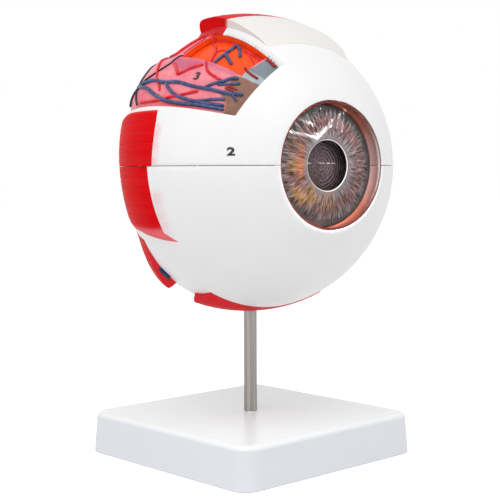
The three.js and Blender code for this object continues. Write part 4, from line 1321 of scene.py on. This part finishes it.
ciliary = {
    "front": 50.9, "back": 43.9, "inside": 27.3, "outside": 36.7, "folds": 30, "fold": 2.2, "columns": 600,
    "squareness": 0.35,  # the power of sine and cosine that rounds the section's corners
}
ciliaryPaint = {"furrow": (0.03, 0.014, 0.012), "ridge": (0.11, 0.055, 0.045)}


# Sine or cosine drawn out towards a square wave
def squarish(wave):
    return np.sign(wave) * np.abs(wave) ** ciliary["squareness"]


# A ring whose inner side is a wave of the angle; its section is a rectangle with rounded corners
def buildCiliary():
    colours = ciliaryPaint.values()
    material = mottledPaint("ciliaryPaint", colours, (150, 4, 0.35, 0.65), (600, 3, 0.08), 0.45)
    seam = math.degrees(math.asin(globe["seamGap"] / 2 / ciliary["outside"]))
    middle = (ciliary["front"] + ciliary["back"]) / 2
    section = np.radians(np.linspace(0, 360, 24, endpoint=False))[:, None]
    for side, half in ((1, "upper"), (-1, "lower")):
        around = side * np.linspace(seam, 180 - seam, ciliary["columns"] // 2)[None, :]
        wave = 0.5 + 0.5 * np.cos(np.radians(ciliary["folds"] * around))
        inner = ciliary["inside"] + ciliary["fold"] * wave
        thick = ciliary["outside"] - inner
        reach = middle + squarish(np.sin(section)) * (ciliary["front"] - ciliary["back"]) / 2
        distance = inner + thick / 2 + squarish(np.cos(section)) * thick / 2
        rows, columns = distance.shape
        faces = [gridQuads(rows, columns, closedRows=True)]
        faces += [(np.arange(rows) * columns + c)[None, :] for c in (0, columns - 1)]
        name, node = "ciliaryFolds" + half.capitalize(), "ciliary_ring_" + half
        points = globeCentre + turned(distance, reach, around)
        piece = addPiece(name, points, faces, "inner_" + half, "ciliary_ring", [node])
        paintPiece(piece, material)


buildCiliary()
print("folded ring done")

# Muscles: straps on the white, along a great circle, with fibres that run along them

# The bevels of every strap carry a little painted reflection, and the two lower side straps carry more
strapShared = {
    "taper": 0.8, "endSlope": 1.5, "edgeRise": 0, "edge": 0.08, "under": 0.02, "rowStep": 1.3,
    "columnStep": 0.45, "fibre": 0.07, "pale": 0, "bevelSheen": 0.1, "lead": ((0, 0),), "leadFade": 24,
    "flare": 0,
}
seamAngle = math.degrees(globe["seamGap"] / 2 / globe["radius"])
straps = {
    "lateralUpperStrap": {
        "node": "lateral_rectus_upper", "body": "globe_upper", "from": (77.5, 0), "to": (134, 0),
        "sides": (-21.3, -seamAngle), "bevels": (2, 0), "feather": 6, "thickness": 1.2, "rise": 6,
        "lead": ((-21, 1.2), (-17, 0.6), (-10, 0.4), (0, 0.8)),
    },
    "lateralLowerStrap": {
        "node": "lateral_rectus_lower", "body": "globe", "from": (80.8, 0), "to": (134, 0),
        "sides": (seamAngle, 26.5), "bevels": (0, 4.5), "feather": 6, "thickness": 1.2, "rise": 6,
        "bevelSheen": 0.6,
        "lead": ((0, 0), (5, -0.4), (12.5, -1.3), (19.5, -2.3), (26, -3.7), (29.7, -12)), "flare": 3.2,
    },
    "medialUpperStrap": {
        "node": "medial_rectus_upper", "body": "globe_upper", "from": (74, 180), "to": (134, 180),
        "sides": (seamAngle, 26.5), "bevels": (0, 4), "feather": 8, "thickness": 1.2, "rise": 8,
    },
    "medialLowerStrap": {
        "node": "medial_rectus_lower", "body": "globe", "from": (74, 180), "to": (134, 180),
        "sides": (-26.5, -seamAngle), "bevels": (4, 0), "feather": 8, "thickness": 1.2, "rise": 8,
        "bevelSheen": 0.6,
    },
    "superiorStrap": {
        "node": "superior_rectus", "body": "globe_upper", "from": (56, 90), "to": (101.5, 90), "taper": 1,
        "sides": (-26.5, 19.5), "bevels": (1.5, 0), "feather": 8, "thickness": 4.45, "rise": 50,
        "edgeRise": 2, "endSlope": 5,
    },
    "inferiorStrap": {
        "node": "inferior_rectus", "body": "globe", "from": (78.5, -90), "to": (91.5, -90), "taper": 1,
        "sides": (-30, 30), "bevels": (1.5, 1.5), "feather": 8, "thickness": 1.3, "rise": 14, "edgeRise": 3.3,
        "pale": 0.1, "rodHole": 3.95,
    },
    "inferiorObliqueStrap": {
        "node": "inferior_oblique", "body": "globe", "from": (110, -30), "to": (110, -55.5), "taper": 1,
        "sides": (-11.5, 11.5), "bevels": (1.5, 1.5), "feather": 1.5, "thickness": 4.7, "rise": 32,
    },
    "superiorObliqueStrap": {
        "node": "superior_oblique", "body": "globe_upper", "from": (108, 123), "to": (108, 147), "taper": 1,
        "sides": (-11.5, 11.5), "bevels": (1.5, 1.5), "feather": 1.5, "thickness": 3.4, "rise": 30,
    },
}
musclePaint = {
    "red": (0.69, 0.004, 0.007),
    "dark": (0.42, 0.003, 0.006),
    "light": (0.72, 0.008, 0.012),
    # Pink: a paler red, and a painted reflection of the white floor on the bevels
    "pink": (0.86, 0.24, 0.27),
    "tendon": (0.80, 0.78, 0.76),
}


# Fibres are noise drawn out along the strap; the pink over the red is a paler red on one strap and a painted
# reflection along the bevels
def muscleMaterial():
    material, tree, shader = newMaterial("musclePaint")
    along, across = times(tree, ownValue(tree, "along"), 0.035), ownValue(tree, "across")
    spot = addNode(tree, "ShaderNodeCombineXYZ", {"X": along, "Y": across}).outputs[0]
    fine = noise(tree, spot, 1.1, 4, 0.6)
    broad = patchy(tree, spot, 0.22, 2, 0.4, 0.65)
    colour = mixColour(tree, broad, musclePaint["red"], musclePaint["light"])
    layers = (
        ("dark", times(tree, easedMask(tree, fine, 0.55, 0.3), 0.4)),
        # pink for the paler red and for the painted reflection on the bevels
        ("pink", ownValue(tree, "pale")),
        ("tendon", ownValue(tree, "tendon")),
    )
    for name, part in layers:
        colour = mixColour(tree, part, colour, musclePaint[name])
    feed(tree, shader, {
        "Base Color": colour,
        "Roughness": easedMask(tree, fine, 0.3, 0.7, 0.36, 0.5),
        "Normal": bump(tree, fine, 0.04),
        "Specular IOR Level": 0.02,
    })
    return material


# A quarter round over a width at an edge, from 0 to 1
def roundEdge(distance, width):
    if width == 0:
        return np.ones_like(distance)
    return np.sqrt(1 - np.clip(1 - distance / width, 0, 1) ** 2)


# Off-circle angle at which the window's upper wall cuts the strap on top, over the length of the window
def windowCut(fromFront):
    return np.degrees(np.arctan(np.sin(np.radians(fromFront)) / math.tan(math.radians(window["top"]))))


# A strap is a grid of rows square to a great circle. Its height over the white is a belly that rises from the
# front, rounded at the sides and the end, with waves across it for the fibres
def buildStrap(name, strap, material):
    s = {**strapShared, **strap}
    start, end = direction(*s["from"]), direction(*s["to"])
    axis = np.cross(start, end)
    axis /= np.linalg.norm(axis)
    ahead = np.cross(axis, start)
    length = math.acos(float(np.clip(start @ end, -1, 1))) * globe["radius"]
    way = spaced([0, 0.4 * s["feather"], length - s["endSlope"]], s["rowStep"])
    way = np.append(way, length - s["endSlope"] * (1 - np.sin(np.radians(np.linspace(0, 90, 8)[1:]))))

    def taperAt(reached):
        return 1 - (1 - s["taper"]) * eased(reached, length / 3, length)

    low, high = (side * taperAt(way) for side in s["sides"])
    if name == "superiorStrap":
        high = np.minimum(high, windowCut(s["from"][0] + np.degrees(way / globe["radius"])))
    leadShare = 1 - eased(way, 0, s["leadFade"])
    high = high + s["flare"] * leadShare
    columns = math.ceil(math.radians(s["sides"][1] - s["sides"][0]) * globe["radius"] / s["columnStep"])
    part = np.linspace(0, 1, columns + 1)[None, :]
    off = low[:, None] + (high - low)[:, None] * part
    lead = np.interp(off, *np.transpose(s["lead"])) * leadShare[:, None]
    turn = ((way[:, None] + lead) / globe["radius"])[..., None]
    circle = start * np.cos(turn) + ahead * np.sin(turn)
    unit = circle * np.cos(np.radians(off))[..., None] + axis * np.sin(np.radians(off))[..., None]
    width = np.radians(high - low)[:, None] * globe["radius"]
    across = part * width
    rim = roundEdge(across, s["bevels"][0]) * roundEdge(width - across, s["bevels"][1])
    rim = rim * roundEdge(length - way, s["endSlope"])[:, None]
    feather = eased(way, 0, s["feather"])[:, None]
    raised = s["edgeRise"] * feather * (off / np.abs(s["sides"]).max()) ** 2
    full = s["thickness"] * eased(way, 0, s["rise"])[:, None] + raised
    swell = 0.6 + 0.4 * np.sin(across * 1.13 + way[:, None] * 0.03)
    ridges = np.cos(across * 2.6 + 0.8 * np.sin(across * 0.71)) * swell
    grown = feather * roundEdge(across, 2) * roundEdge(width - across, 2)
    height = s["edge"] + full * rim + s["fibre"] * ridges * grown * np.minimum(1, full)
    angles = anglesOf(unit)
    top = globePoint(*angles, np.maximum(height, s["edge"]))
    under = globePoint(*angles, s["under"])
    rows, wide = height.shape
    count = rows * wide
    quads = gridQuads(rows, wide)
    firstOnes, leftOnes = np.arange(wide), np.arange(rows) * wide
    ends = [leftOnes, leftOnes + wide - 1, firstOnes, (rows - 1) * wide + firstOnes]
    walls = [np.stack([e[:-1], e[1:], e[1:] + count, e[:-1] + count], -1) for e in ends]
    points = np.concatenate([top.reshape(-1, 3), under.reshape(-1, 3)])
    piece = addPiece(name, points, [quads, quads + count] + walls, s["body"], "muscle", [s["node"]], 45)
    if name == "inferiorStrap":
        cutHoles(piece, [(*rodPlace, s["rodHole"], barBottom, barTop)])

    # How far along the strap a place is, in millimetres, and how far aside, in degrees
    def strapPlace(t, a):
        u = direction(t, a)
        reached = np.degrees(np.arctan2(u @ ahead, u @ start))
        return np.radians(reached) * globe["radius"], np.degrees(np.arcsin(np.clip(u @ axis, -1, 1)))

    # Share of pink: the strap's own paler red, and a painted reflection along its bevels
    def paleValue(t, a, lift):
        reached, aside = strapPlace(t, a)
        value = np.full_like(reached, s["pale"])
        for edge, bevel, sign in zip(s["sides"], s["bevels"], (1, -1)):
            if bevel > 0:
                inside = sign * np.radians(aside - edge * taperAt(reached)) * globe["radius"]
                value = np.maximum(value, s["bevelSheen"] * (1 - eased(inside, 0.25 * bevel, 0.95 * bevel)))
        return value

    def tendonValue(t, a, lift):
        reached = strapPlace(t, a)[0]
        if name in tendonEnds:
            return 1 - eased(reached + tendonSlant * lift, *tendonEnds[name])
        return np.zeros_like(reached)

    paintValues(piece, {
        "along": lambda t, a, lift: strapPlace(t, a)[0],
        "across": lambda t, a, lift: np.radians(strapPlace(t, a)[1]) * globe["radius"],
        "pale": paleValue,
        "tendon": tendonValue,
    })
    paintPiece(piece, material)


# Where a pale tendon gives way to red, in millimetres along the strap
tendonEnds = {"superiorStrap": (32.2, 33.2)}
tendonSlant = 0.5  # the red reaches further forward higher up
muscleFinish = muscleMaterial()
for strapName, strapSizes in straps.items():
    buildStrap(strapName, strapSizes, muscleFinish)
print("muscles done")

# Vessels: round wires sunk a little into the floor of the window. Each has its radius at both ends, how old
# it looks, and its stops in degrees, where a third number is a height over the white of its own

vessels = {
    "trunkVeins": {
        "node": "vortex_vein", "slot": "vein", "floor": -2.9, "paint": "vein",
        "wires": (
            (0.95, 0.85, 0, (
                (104, 33.5), (97, 34.5), (92, 35.5), (86, 35), (78, 35.5), (69, 35), (60.5, 36), (55, 37),
                (48.5, 40),
            )),
            (0.75, 0.6, 0, ((54, 38), (52, 37), (49.5, 35))),
            (0.7, 0.95, 0, ((64.5, 36), (62, 39), (59, 42), (57, 45), (54.5, 47))),
            (0.6, 0.75, 0, ((60.5, 39), (56, 42), (52.5, 45))),
            (0.95, 0.95, 0, (
                (104, 33.5), (98, 32.5), (93.5, 31.5), (90, 30), (84.5, 28), (78.5, 26.5), (70, 26.3),
                (65, 27), (59.5, 27.5), (52.5, 28.5),
            )),
            (0.8, 0.85, 0, (
                (85, 35), (81.5, 32.5), (76.5, 30), (71, 28.7), (65.5, 28.5), (60, 29), (53, 30.5),
            )),
            (0.6, 0.8, 0, ((65.5, 28.7), (62, 30), (58, 32), (54, 33.7))),
        ),
    },
    "darkVeins": {
        "node": None, "slot": "vein", "floor": -2.9, "paint": "darkVein",
        "wires": (
            (0.6, 0.4, 1, ((104, 33.5), (106, 38), (106, 43.5), (104.5, 49), (100, 50), (95, 49.5))),
            (0.55, 0.4, 1, (
                (103, 34), (97, 37), (93.5, 40), (91, 43), (90, 45), (90, 47.5), (89.5, 49.5), (87.5, 50),
            )),
            (0.6, 0.65, 0.6, ((104, 33.5), (103, 30.5), (102.5, 28), (101, 25.8))),
            (0.6, 0.75, 0.8, ((104, 33.5), (108, 31.5), (112, 30), (116, 28.5))),
        ),
    },
    "recessVeins": {
        "node": "forked_vein", "slot": "vein", "floor": -5.8, "paint": "vein",
        "wires": (
            (0.8, 0.9, 0, ((71, 50.3), (71, 55), (71, 58.5), (71.5, 63), (72, 66.5))),
            (0.95, 0.8, 0, ((71, 58), (67, 56), (63.5, 54))),
            (0.85, 0.75, 0, ((72, 66.5), (68, 64), (64, 60))),
        ),
    },
    "recessArteries": {
        "node": "artery_tree", "slot": "artery", "floor": -5.8, "paint": "artery",
        "wires": (
            (0.65, 0.65, 0, (
                (91, 67.3, -2.9), (88.6, 66.8, -3), (87.2, 65.8, -4.4), (85.5, 64.2, -5.8), (83, 62.5),
                (79.5, 60.5), (76, 57), (74, 53), (73, 50),
            )),
            (0.5, 0.3, 0, ((87, 65.7), (82, 66.7), (74.5, 66.9), (68.5, 66.3), (62, 64), (56.5, 61))),
            (0.45, 0.35, 0, ((76.5, 58), (74.5, 60), (71, 60.5))),
            (0.45, 0.4, 0, ((66, 64.5), (63, 66), (58.5, 66.7), (55.3, 66.8))),
            (0.4, 0.3, 0, ((65, 64.7), (61, 65.2), (56.4, 65.3))),
        ),
    },
    "limbArteries": {
        "node": "artery_limb", "slot": "artery", "floor": -2.9, "paint": "artery",
        "wires": (
            (0.8, 0.95, 0, ((98, 50), (96.5, 51.5), (95.5, 55), (95, 60), (95, 64), (95.5, 68))),
            (0.45, 0.4, 0, ((89, 51), (88.6, 56), (88.7, 61), (89.5, 64.5))),
        ),
    },
    "obliqueVein": {
        "node": None, "slot": "vein", "floor": 0.3, "paint": "darkVein", "body": "globe",
        "wires": (
            (1.1, 1.3, 0, ((100, -44.5), (98.9, -46.5), (97.6, -48.5), (96.6, -50))),
        ),
    },
    "floorArtery": {
        "node": "artery_branch", "slot": "artery", "floor": -2.9, "paint": "artery",
        "wires": (
            (0.6, 0.75, 0, ((72.4, 48.6), (71, 47), (69.5, 45.3), (67, 43.5), (63.5, 42.5), (60, 42))),
        ),
    },
    "bentArteries": {
        "node": "artery_bend", "slot": "artery", "floor": -2.9, "paint": "artery",
        "wires": (
            (0.75, 0.8, 0, ((88, 45), (84, 42), (80.5, 39))),
            (0.8, 0.8, 0, ((80.7, 38.9), (77, 42.5), (72, 46.5))),
            (0.7, 0.6, 0, ((98, 49.5), (98, 46.5), (96, 43.5), (94, 40), (91, 36), (88, 33.5), (86, 31))),
            (0.7, 0.75, 0, ((98.5, 26.4), (89, 26.4), (83, 27), (78, 28.5), (72, 30.5), (66, 33.5))),
            (0.55, 0.45, 0.55, ((56.5, 40.5), (54, 41), (52, 41))),
            (0.5, 0.4, 0.5, ((57, 39.5), (55, 39.5), (53, 39.5))),
        ),
    },
    "paleZoneArteries": {
        "node": None, "slot": "artery", "floor": -2.9, "paint": "artery",
        "wires": (
            (0.7, 0.6, 0.75, ((56.5, 54), (54, 53), (51, 52.7), (48.5, 53))),
            (0.75, 0.85, 0.75, ((54, 66), (52.5, 66.3), (50, 66.3), (48.5, 66))),
        ),
    },
}
vesselShape = {"sunk": 0.45, "sides": 14, "perStretch": 9, "flatten": 0.9}


# A round section carried along a curve on the globe: its side is square to the way and to the globe's normal,
# and its radius runs evenly from one end to the other, rounded off over one radius at both ends
def wirePoints(first, last, stops, floor):
    path = curveThrough(stops, vesselShape["perStretch"])
    depth = path[:, 2]
    share = np.linspace(0, 1, len(path))
    radius = first + (last - first) * share
    swell = floorSwell(path[:, 0], path[:, 1]) if floor == choroid["outside"] else 0
    centre = globePoint(path[:, 0], path[:, 1], depth + vesselShape["sunk"] * radius + swell)
    steps = np.linalg.norm(np.diff(centre, axis=0), axis=1)
    way = np.concatenate([[0], np.cumsum(steps)])
    radius = radius * roundEdge(way, first) * roundEdge(way[-1] - way, last)
    tangent = np.gradient(centre, axis=0)
    tangent /= np.linalg.norm(tangent, axis=1, keepdims=True)
    side = np.cross(tangent, direction(path[:, 0], path[:, 1]))
    side /= np.linalg.norm(side, axis=1, keepdims=True)
    up = np.cross(side, tangent)
    turn = np.linspace(0, 2 * np.pi, vesselShape["sides"], endpoint=False)[None, :, None]
    ring = np.cos(turn) * side[:, None] + vesselShape["flatten"] * np.sin(turn) * up[:, None]
    return centre[:, None] + ring * radius[:, None, None]


vesselPaint = {
    "vein": {"colour": (0.038, 0.066, 0.165), "light": (0.075, 0.12, 0.25), "old": (0.018, 0.030, 0.08)},
    "darkVein": {"colour": (0.014, 0.024, 0.075), "light": (0.03, 0.05, 0.13), "old": (0.008, 0.013, 0.04)},
    "artery": {"colour": (0.66, 0.010, 0.022), "light": (0.76, 0.035, 0.05), "old": (0.15, 0.012, 0.010)},
}


def vesselMaterial(name):
    paint = vesselPaint[name]
    material, tree, shader = newMaterial(name + "Paint")
    point = objectPoint(tree)
    colour = mixColour(tree, patchy(tree, point, 420, 3, 0.4, 0.68), paint["colour"], paint["light"])
    feed(tree, shader, {
        "Base Color": mixColour(tree, ownValue(tree, "old"), colour, paint["old"]),
        "Roughness": patchy(tree, point, 200, 2, 0.3, 0.7, 0.25, 0.42),
        "Normal": bump(tree, noise(tree, point, 900, 2), 0.03),
        "Specular IOR Level": 0.25,
    })
    return material


def buildVessels():
    materials = {name: vesselMaterial(name) for name in vesselPaint}
    for name, group in vessels.items():
        points, faces, old = [], [], []
        for first, last, age, given in group["wires"]:
            stops = [(*stop, group["floor"])[:3] for stop in given]
            wire = wirePoints(first, last, stops, group["floor"])
            faces.append(gridQuads(*wire.shape[:2], sum(len(p) for p in points), closedColumns=True))
            points.append(wire.reshape(-1, 3))
            old.append((np.array(stops), age))
        nodes = [group["node"]] if group["node"] else []
        body = group.get("body", "inner_upper")
        piece = addPiece(name, np.concatenate(points), faces, body, group["slot"], nodes, 60)

        # The age of the wire whose stops come nearest
        def ageHere(t, a, lift):
            gaps = [np.min((t[:, None] - s[:, 0]) ** 2 + (a[:, None] - s[:, 1]) ** 2, 1) for s, _ in old]
            return np.array([age for _, age in old])[np.argmin(gaps, 0)]

        paintValues(piece, {"old": ageHere})
        paintPiece(piece, materials[group["paint"]])


buildVessels()
print("vessels done")

# Optic nerve: a stub on the back, leaning towards the nose

nerve = {
    "tilt": 16,
    "radius": 10,
    "flare": 2.5,
    "flareEnd": 8,
    "wall": 2,
    "lip": 0.35,
    "setback": 1.2,
    "endReach": 83.2,
    "columns": 96,
    "rows": 40,
}
nervePaint = {"sheath": (0.72, 0.62, 0.40), "pale": (0.80, 0.74, 0.58), "core": (0.80, 0.66, 0.36)}


def nerveMaterial(name, paint):
    colours = (nervePaint[paint], nervePaint["pale"])
    return mottledPaint(name, colours, (110, 4, 0.35, 0.7), (420, 4, 0.12), 0.45)


# Each line along the sheath starts where it leaves the globe or, above the seam, the globe's outline seen
# from above; the place is found by halving
def nerveStart(axis, ring, radius):
    low = np.full(len(ring), 40.0)
    high = np.full(len(ring), 80.0)
    for _ in range(40):
        middle = (low + high) / 2
        p = middle[:, None] * axis + radius * ring
        hull = np.linalg.norm(p, axis=1) - (plainRadius(anglesOf(p)[0]) + 0.15)
        outline = np.hypot(p[:, 0] / (globe["radius"] + 0.6), p[:, 1] / (globe["backReach"] + 0.6)) - 1
        inside = np.where(p[:, 2] > 0, outline, hull) < 0
        low, high = np.where(inside, middle, low), np.where(inside, high, middle)
    return high


def buildNerve():
    axis = direction(180.0 - nerve["tilt"], 180.0)
    upward = np.array([0.0, 0.0, 1.0])
    angle = np.linspace(0, 2 * np.pi, nerve["columns"], endpoint=False)
    ring = np.cos(angle)[:, None] * np.cross(upward, axis) + np.sin(angle)[:, None] * upward
    tilt = math.radians(nerve["tilt"])
    end = (nerve["endReach"] - nerve["radius"] * math.sin(tilt)) / math.cos(tilt)
    inner, lip = nerve["radius"] - nerve["wall"], nerve["lip"]
    start, innerStart = (nerveStart(axis, ring, radius) for radius in (nerve["radius"], inner))
    outerWay = start + (end - start) * np.linspace(0, 1, nerve["rows"])[:, None] ** 1.5
    swell = nerve["flare"] * (1 - eased(outerWay - start, 0, nerve["flareEnd"]))
    outerRadius = nerve["radius"] + 0.55 * swell
    lipRadius = np.array([[nerve["radius"] - lip], [inner + lip]]) + 0 * angle
    lipWay = np.full_like(lipRadius, end + lip)
    innerWay = end + (innerStart - end) * np.linspace(0, 1, 12)[:, None]
    way = np.concatenate([outerWay, lipWay, innerWay])
    radius = np.concatenate([outerRadius, lipRadius, np.full_like(innerWay, inner)])
    points = globeCentre + way[..., None] * axis + radius[..., None] * ring
    faces = [gridQuads(len(way), nerve["columns"], closedColumns=True, closedRows=True)]
    sheath = addPiece("nerveSheath", points, faces, "globe", "nerve", ["optic_nerve_sheath"], 50)
    paintPiece(sheath, nerveMaterial("nerveSheathPaint", "sheath"))

    coreRadius = inner - 0.15
    coreWay = np.concatenate([innerStart[None, :], np.full((3, nerve["columns"]), end - nerve["setback"])])
    coreWay[1] -= 0.8
    coreWay[3] += 0.5
    scale = np.array([coreRadius, coreRadius, coreRadius - 0.6, 0.0])[:, None] + 0 * angle
    points = globeCentre + coreWay[..., None] * axis + scale[..., None] * ring
    faces = [gridQuads(4, nerve["columns"], closedColumns=True), np.arange(nerve["columns"])[None, :]]
    core = addPiece("nerveCore", points, faces, "globe", "nerve", ["optic_nerve_core"], 50)
    paintPiece(core, nerveMaterial("nerveCorePaint", "core"))


buildNerve()
print("optic nerve done")

# Numerals on the paint

numerals = {
    "numeralThree": {
        "text": "3", "at": (71, 40), "size": 6.2, "shear": 0.1, "weight": 0.03, "wide": 1.1, "floor": -2.74,
        "body": "inner_upper", "slot": "choroid",
    },
    "numeralTwo": {
        "text": "2", "at": (45.2, 7.2), "size": 5.2, "shear": 0.0, "weight": 0.045, "wide": 1.45, "floor": 0,
        "body": "globe_upper", "slot": "sclera",
    },
}
inkPaint = {"black": (0.006, 0.006, 0.007), "worn": (0.02, 0.02, 0.022)}


def inkMaterial():
    material, tree, shader = newMaterial("blackInk")
    colour = mixColour(tree, noise(tree, objectPoint(tree), 900), inkPaint["black"], inkPaint["worn"])
    feed(tree, shader, {"Base Color": colour, "Roughness": 0.4})
    return material


# A flat numeral is laid square to the globe at its place, upright for someone in front, and pressed onto it
def buildNumeral(name, numeral, material):
    curve = bpy.data.curves.new(name, "FONT")
    curve.body = numeral["text"]
    curve.size = numeral["size"]
    curve.shear = numeral["shear"]
    curve.offset = numeral["weight"] * numeral["size"]
    curve.align_x = "CENTER"
    curve.align_y = "CENTER"
    curve.extrude = 0.1
    drawn = toScene(bpy.data.objects.new(name + "Curve", curve))
    mesh = applied(drawn)
    bpy.data.objects.remove(drawn)
    p = placesOf(mesh.vertices, "co")
    unit = direction(*numeral["at"])
    up = np.array(camera["up"]) - (np.array(camera["up"]) @ unit) * unit
    up /= np.linalg.norm(up)
    across = np.cross(up, unit)
    spot = globe["radius"] * unit + numeral["wide"] * p[:, :1] * across + p[:, 1:2] * up
    points = globePoint(*anglesOf(spot), numeral["floor"] + p[:, 2])
    faces = [[list(face.vertices)] for face in mesh.polygons]
    piece = addPiece(name, points, faces, numeral["body"], numeral["slot"], [])
    paintPiece(piece, material)


ink = inkMaterial()
for numeralName, numeral in numerals.items():
    buildNumeral(numeralName, numeral, ink)
print("numerals done")

# Stand: the moulded base and the rod

base = {
    "turn": 7.65,
    "side": 120,
    "height": 21,
    "draft": 1,
    "corner": 9,
    "edge": 3,
    "wall": 2.6,
    "top": 3,
    "plateStep": 1,
    "plateSeat": 2.5,
    "rodHole": 3.65,
    "rim": 4.15,
    "rimTop": 21.5,
    "cornerPoints": 20,
}
rod = {"radius": 3.35, "thread": 3, "bottom": 2.8, "shoulder": 21.3, "top": 87.8, "sides": 96}
# The moulding's white with a faint cloud; the darker side colour is painted shade on the base's sides
basePaintAndSideShade = {"colour": (0.893, 0.909, 0.92), "cloud": (0.883, 0.899, 0.9), "side": (0.751, 0.765, 0.81)}


def baseMaterial(name, rough):
    material, tree, shader = newMaterial(name)
    point = objectPoint(tree)
    colour = mixColour(tree, patchy(tree, point, 20, 3, 0.35, 0.7), basePaintAndSideShade["colour"], basePaintAndSideShade["cloud"])
    height = addNode(tree, "ShaderNodeSeparateXYZ", {"Vector": point}).outputs["Z"]
    # Below the top edge the sides take the darker colour: painted shade
    side = easedMask(tree, height, (base["height"] - 0.5) * mm, (base["height"] - base["edge"]) * mm)
    feed(tree, shader, {
        "Base Color": mixColour(tree, side, colour, basePaintAndSideShade["side"]),
        "Roughness": patchy(tree, point, 30, 2, 0.3, 0.7, rough, rough + 0.02),
        "Specular IOR Level": 0.5,
    })
    return material


# A square with round corners as a ring of points, turned as the base stands; a corner is an arc of its own
def squareRing(side, corner, height):
    steps = base["cornerPoints"]
    quarter = np.repeat(np.arange(4), steps)
    angle = np.radians(90 * (quarter + np.tile(np.linspace(0, 1, steps), 4)))
    middle = np.radians(90 * (quarter + 0.5))
    centre = side / 2 - corner
    x = np.sign(np.cos(middle)) * centre + corner * np.cos(angle)
    y = np.sign(np.sin(middle)) * centre + corner * np.sin(angle)
    return turnedStand(x, y, height)


def turnedStand(x, y, height):
    c, s = math.cos(math.radians(base["turn"])), math.sin(math.radians(base["turn"]))
    return np.stack([x * c - y * s, x * s + y * c, height + 0 * x], -1)


def buildBase():
    sideTop = base["side"] - 2 * base["draft"]
    edgeStart = base["height"] - base["edge"]
    ceiling = base["height"] - base["top"]
    recess = base["side"] - 2 * (base["wall"] - base["plateStep"])
    cavity = base["side"] - 2 * base["wall"]
    innerCorner = base["corner"] - base["wall"]
    rings = [
        squareRing(cavity, innerCorner, base["plateSeat"]),
        squareRing(recess, innerCorner + base["plateStep"], base["plateSeat"]),
        squareRing(recess, innerCorner + base["plateStep"], 0),
        squareRing(base["side"] - 0.8, base["corner"] - 0.4, 0),
        squareRing(base["side"], base["corner"], 0.5),
    ]
    for share in np.linspace(0, 1, 6)[1:]:
        side = base["side"] + (sideTop - base["side"]) * share
        rings.append(squareRing(side, base["corner"], edgeStart * share + 0.5 * (1 - share)))
    for angle in np.radians(np.linspace(0, 90, 13)[1:]):
        inset = base["edge"] * (1 - math.cos(angle))
        height = edgeStart + base["edge"] * math.sin(angle)
        rings.append(squareRing(sideTop - 2 * inset, base["corner"] - inset, height))
    outline = squareRing(sideTop - 2 * base["edge"], base["corner"] - base["edge"], 0)
    turn = np.arctan2(outline[:, 1], outline[:, 0])

    def circle(radius, height):
        return np.stack([radius * np.cos(turn), radius * np.sin(turn), height + 0 * turn], -1)

    rings += [
        circle(base["rim"] + 0.5, base["height"]),
        circle(base["rim"], base["height"] + 0.12),
        circle(base["rim"] - 0.08, base["rimTop"] - 0.1),
        circle(base["rim"] - 0.2, base["rimTop"]),
        circle(base["rodHole"], base["rimTop"]),
        circle(base["rodHole"], ceiling),
        squareRing(sideTop - 2 * base["wall"], innerCorner, ceiling),
    ]
    rows, columns = len(rings), len(rings[0])
    faces = [gridQuads(rows, columns, closedColumns=True, closedRows=True)]
    piece = addPiece("baseMoulding", np.concatenate(rings), faces, "stand", "base", ["base_cover"], 25)
    paintPiece(piece, baseMaterial("whiteMoulding", 0.22))


metals = {
    "brushedSteel": {"light": (0.40, 0.385, 0.36), "dark": (0.27, 0.255, 0.24)},
    "plainSteel": {"light": (0.60, 0.59, 0.58), "dark": (0.45, 0.44, 0.43)},
    "turnedBrass": {"light": (0.63, 0.46, 0.20), "dark": (0.48, 0.34, 0.14)},
}


# The brushed pattern runs on the unit vector round the rod, drawn out along it, so that it is upright
def metalMaterial(name):
    material, tree, shader = newMaterial(name)
    point = objectPoint(tree)
    if name == "brushedSteel":
        unit = vectorMath(tree, "NORMALIZE", vectorMath(tree, "MULTIPLY", point, (1, 1, 0)))
        low = vectorMath(tree, "MULTIPLY", point, (0, 0, 9))
        wound = vectorMath(tree, "MULTIPLY", unit, (7, 7, 7))
        grain = noise(tree, vectorMath(tree, "ADD", wound, low), 1.6, 5, 0.65)
    else:
        grain = noise(tree, point, 500, 4)
    metal = metals[name]
    feed(tree, shader, {
        "Base Color": mixColour(tree, easedMask(tree, grain, 0.32, 0.68), metal["dark"], metal["light"]),
        "Roughness": easedMask(tree, grain, 0.3, 0.7, 0.28, 0.42),
        "Normal": bump(tree, grain, 0.02),
        "Metallic": 1.0,
    })
    return material


def buildRod():
    radius, thread, bottom = rod["radius"], rod["thread"], rod["bottom"]
    shoulder, top = rod["shoulder"], rod["top"]
    profile = np.array([
        (0, bottom), (thread - 0.4, bottom), (thread, bottom + 0.4), (thread, shoulder),
        (radius - 0.15, shoulder), (radius, shoulder + 0.15), (radius, top - 0.6), (radius - 0.6, top),
        (0, top),
    ])
    turn = np.linspace(0, 2 * np.pi, rod["sides"], endpoint=False)[None, :]
    out, height = profile[:, :1], profile[:, 1:]
    grid = np.stack([out * np.cos(turn), out * np.sin(turn), height + 0 * turn], -1)
    faces = [gridQuads(len(profile), rod["sides"], closedColumns=True)]
    piece = addPiece("steelRod", grid, faces, "stand", "steel", ["support_rod"], 40)
    paintPiece(piece, metalMaterial("brushedSteel"))


buildBase()
buildRod()
print("stand done")

# Finish of the pieces that stay as they are

carriedOver = {
    "plainSteel": ["rod_washer", "rod_nut"] + [
        kind + str(n) for kind in ("base_screw_", "locating_pin_") for n in range(1, 5)
    ],
    "turnedBrass": ["rod_bush"],
    "plateMoulding": ["base_plate"],
}
for finishName, nodeNames in carriedOver.items():
    finish = metalMaterial(finishName) if finishName in metals else baseMaterial(finishName, 0.4)
    for nodeName in nodeNames:
        paintPiece(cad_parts[nodeName], finish)
print("carried pieces finished")
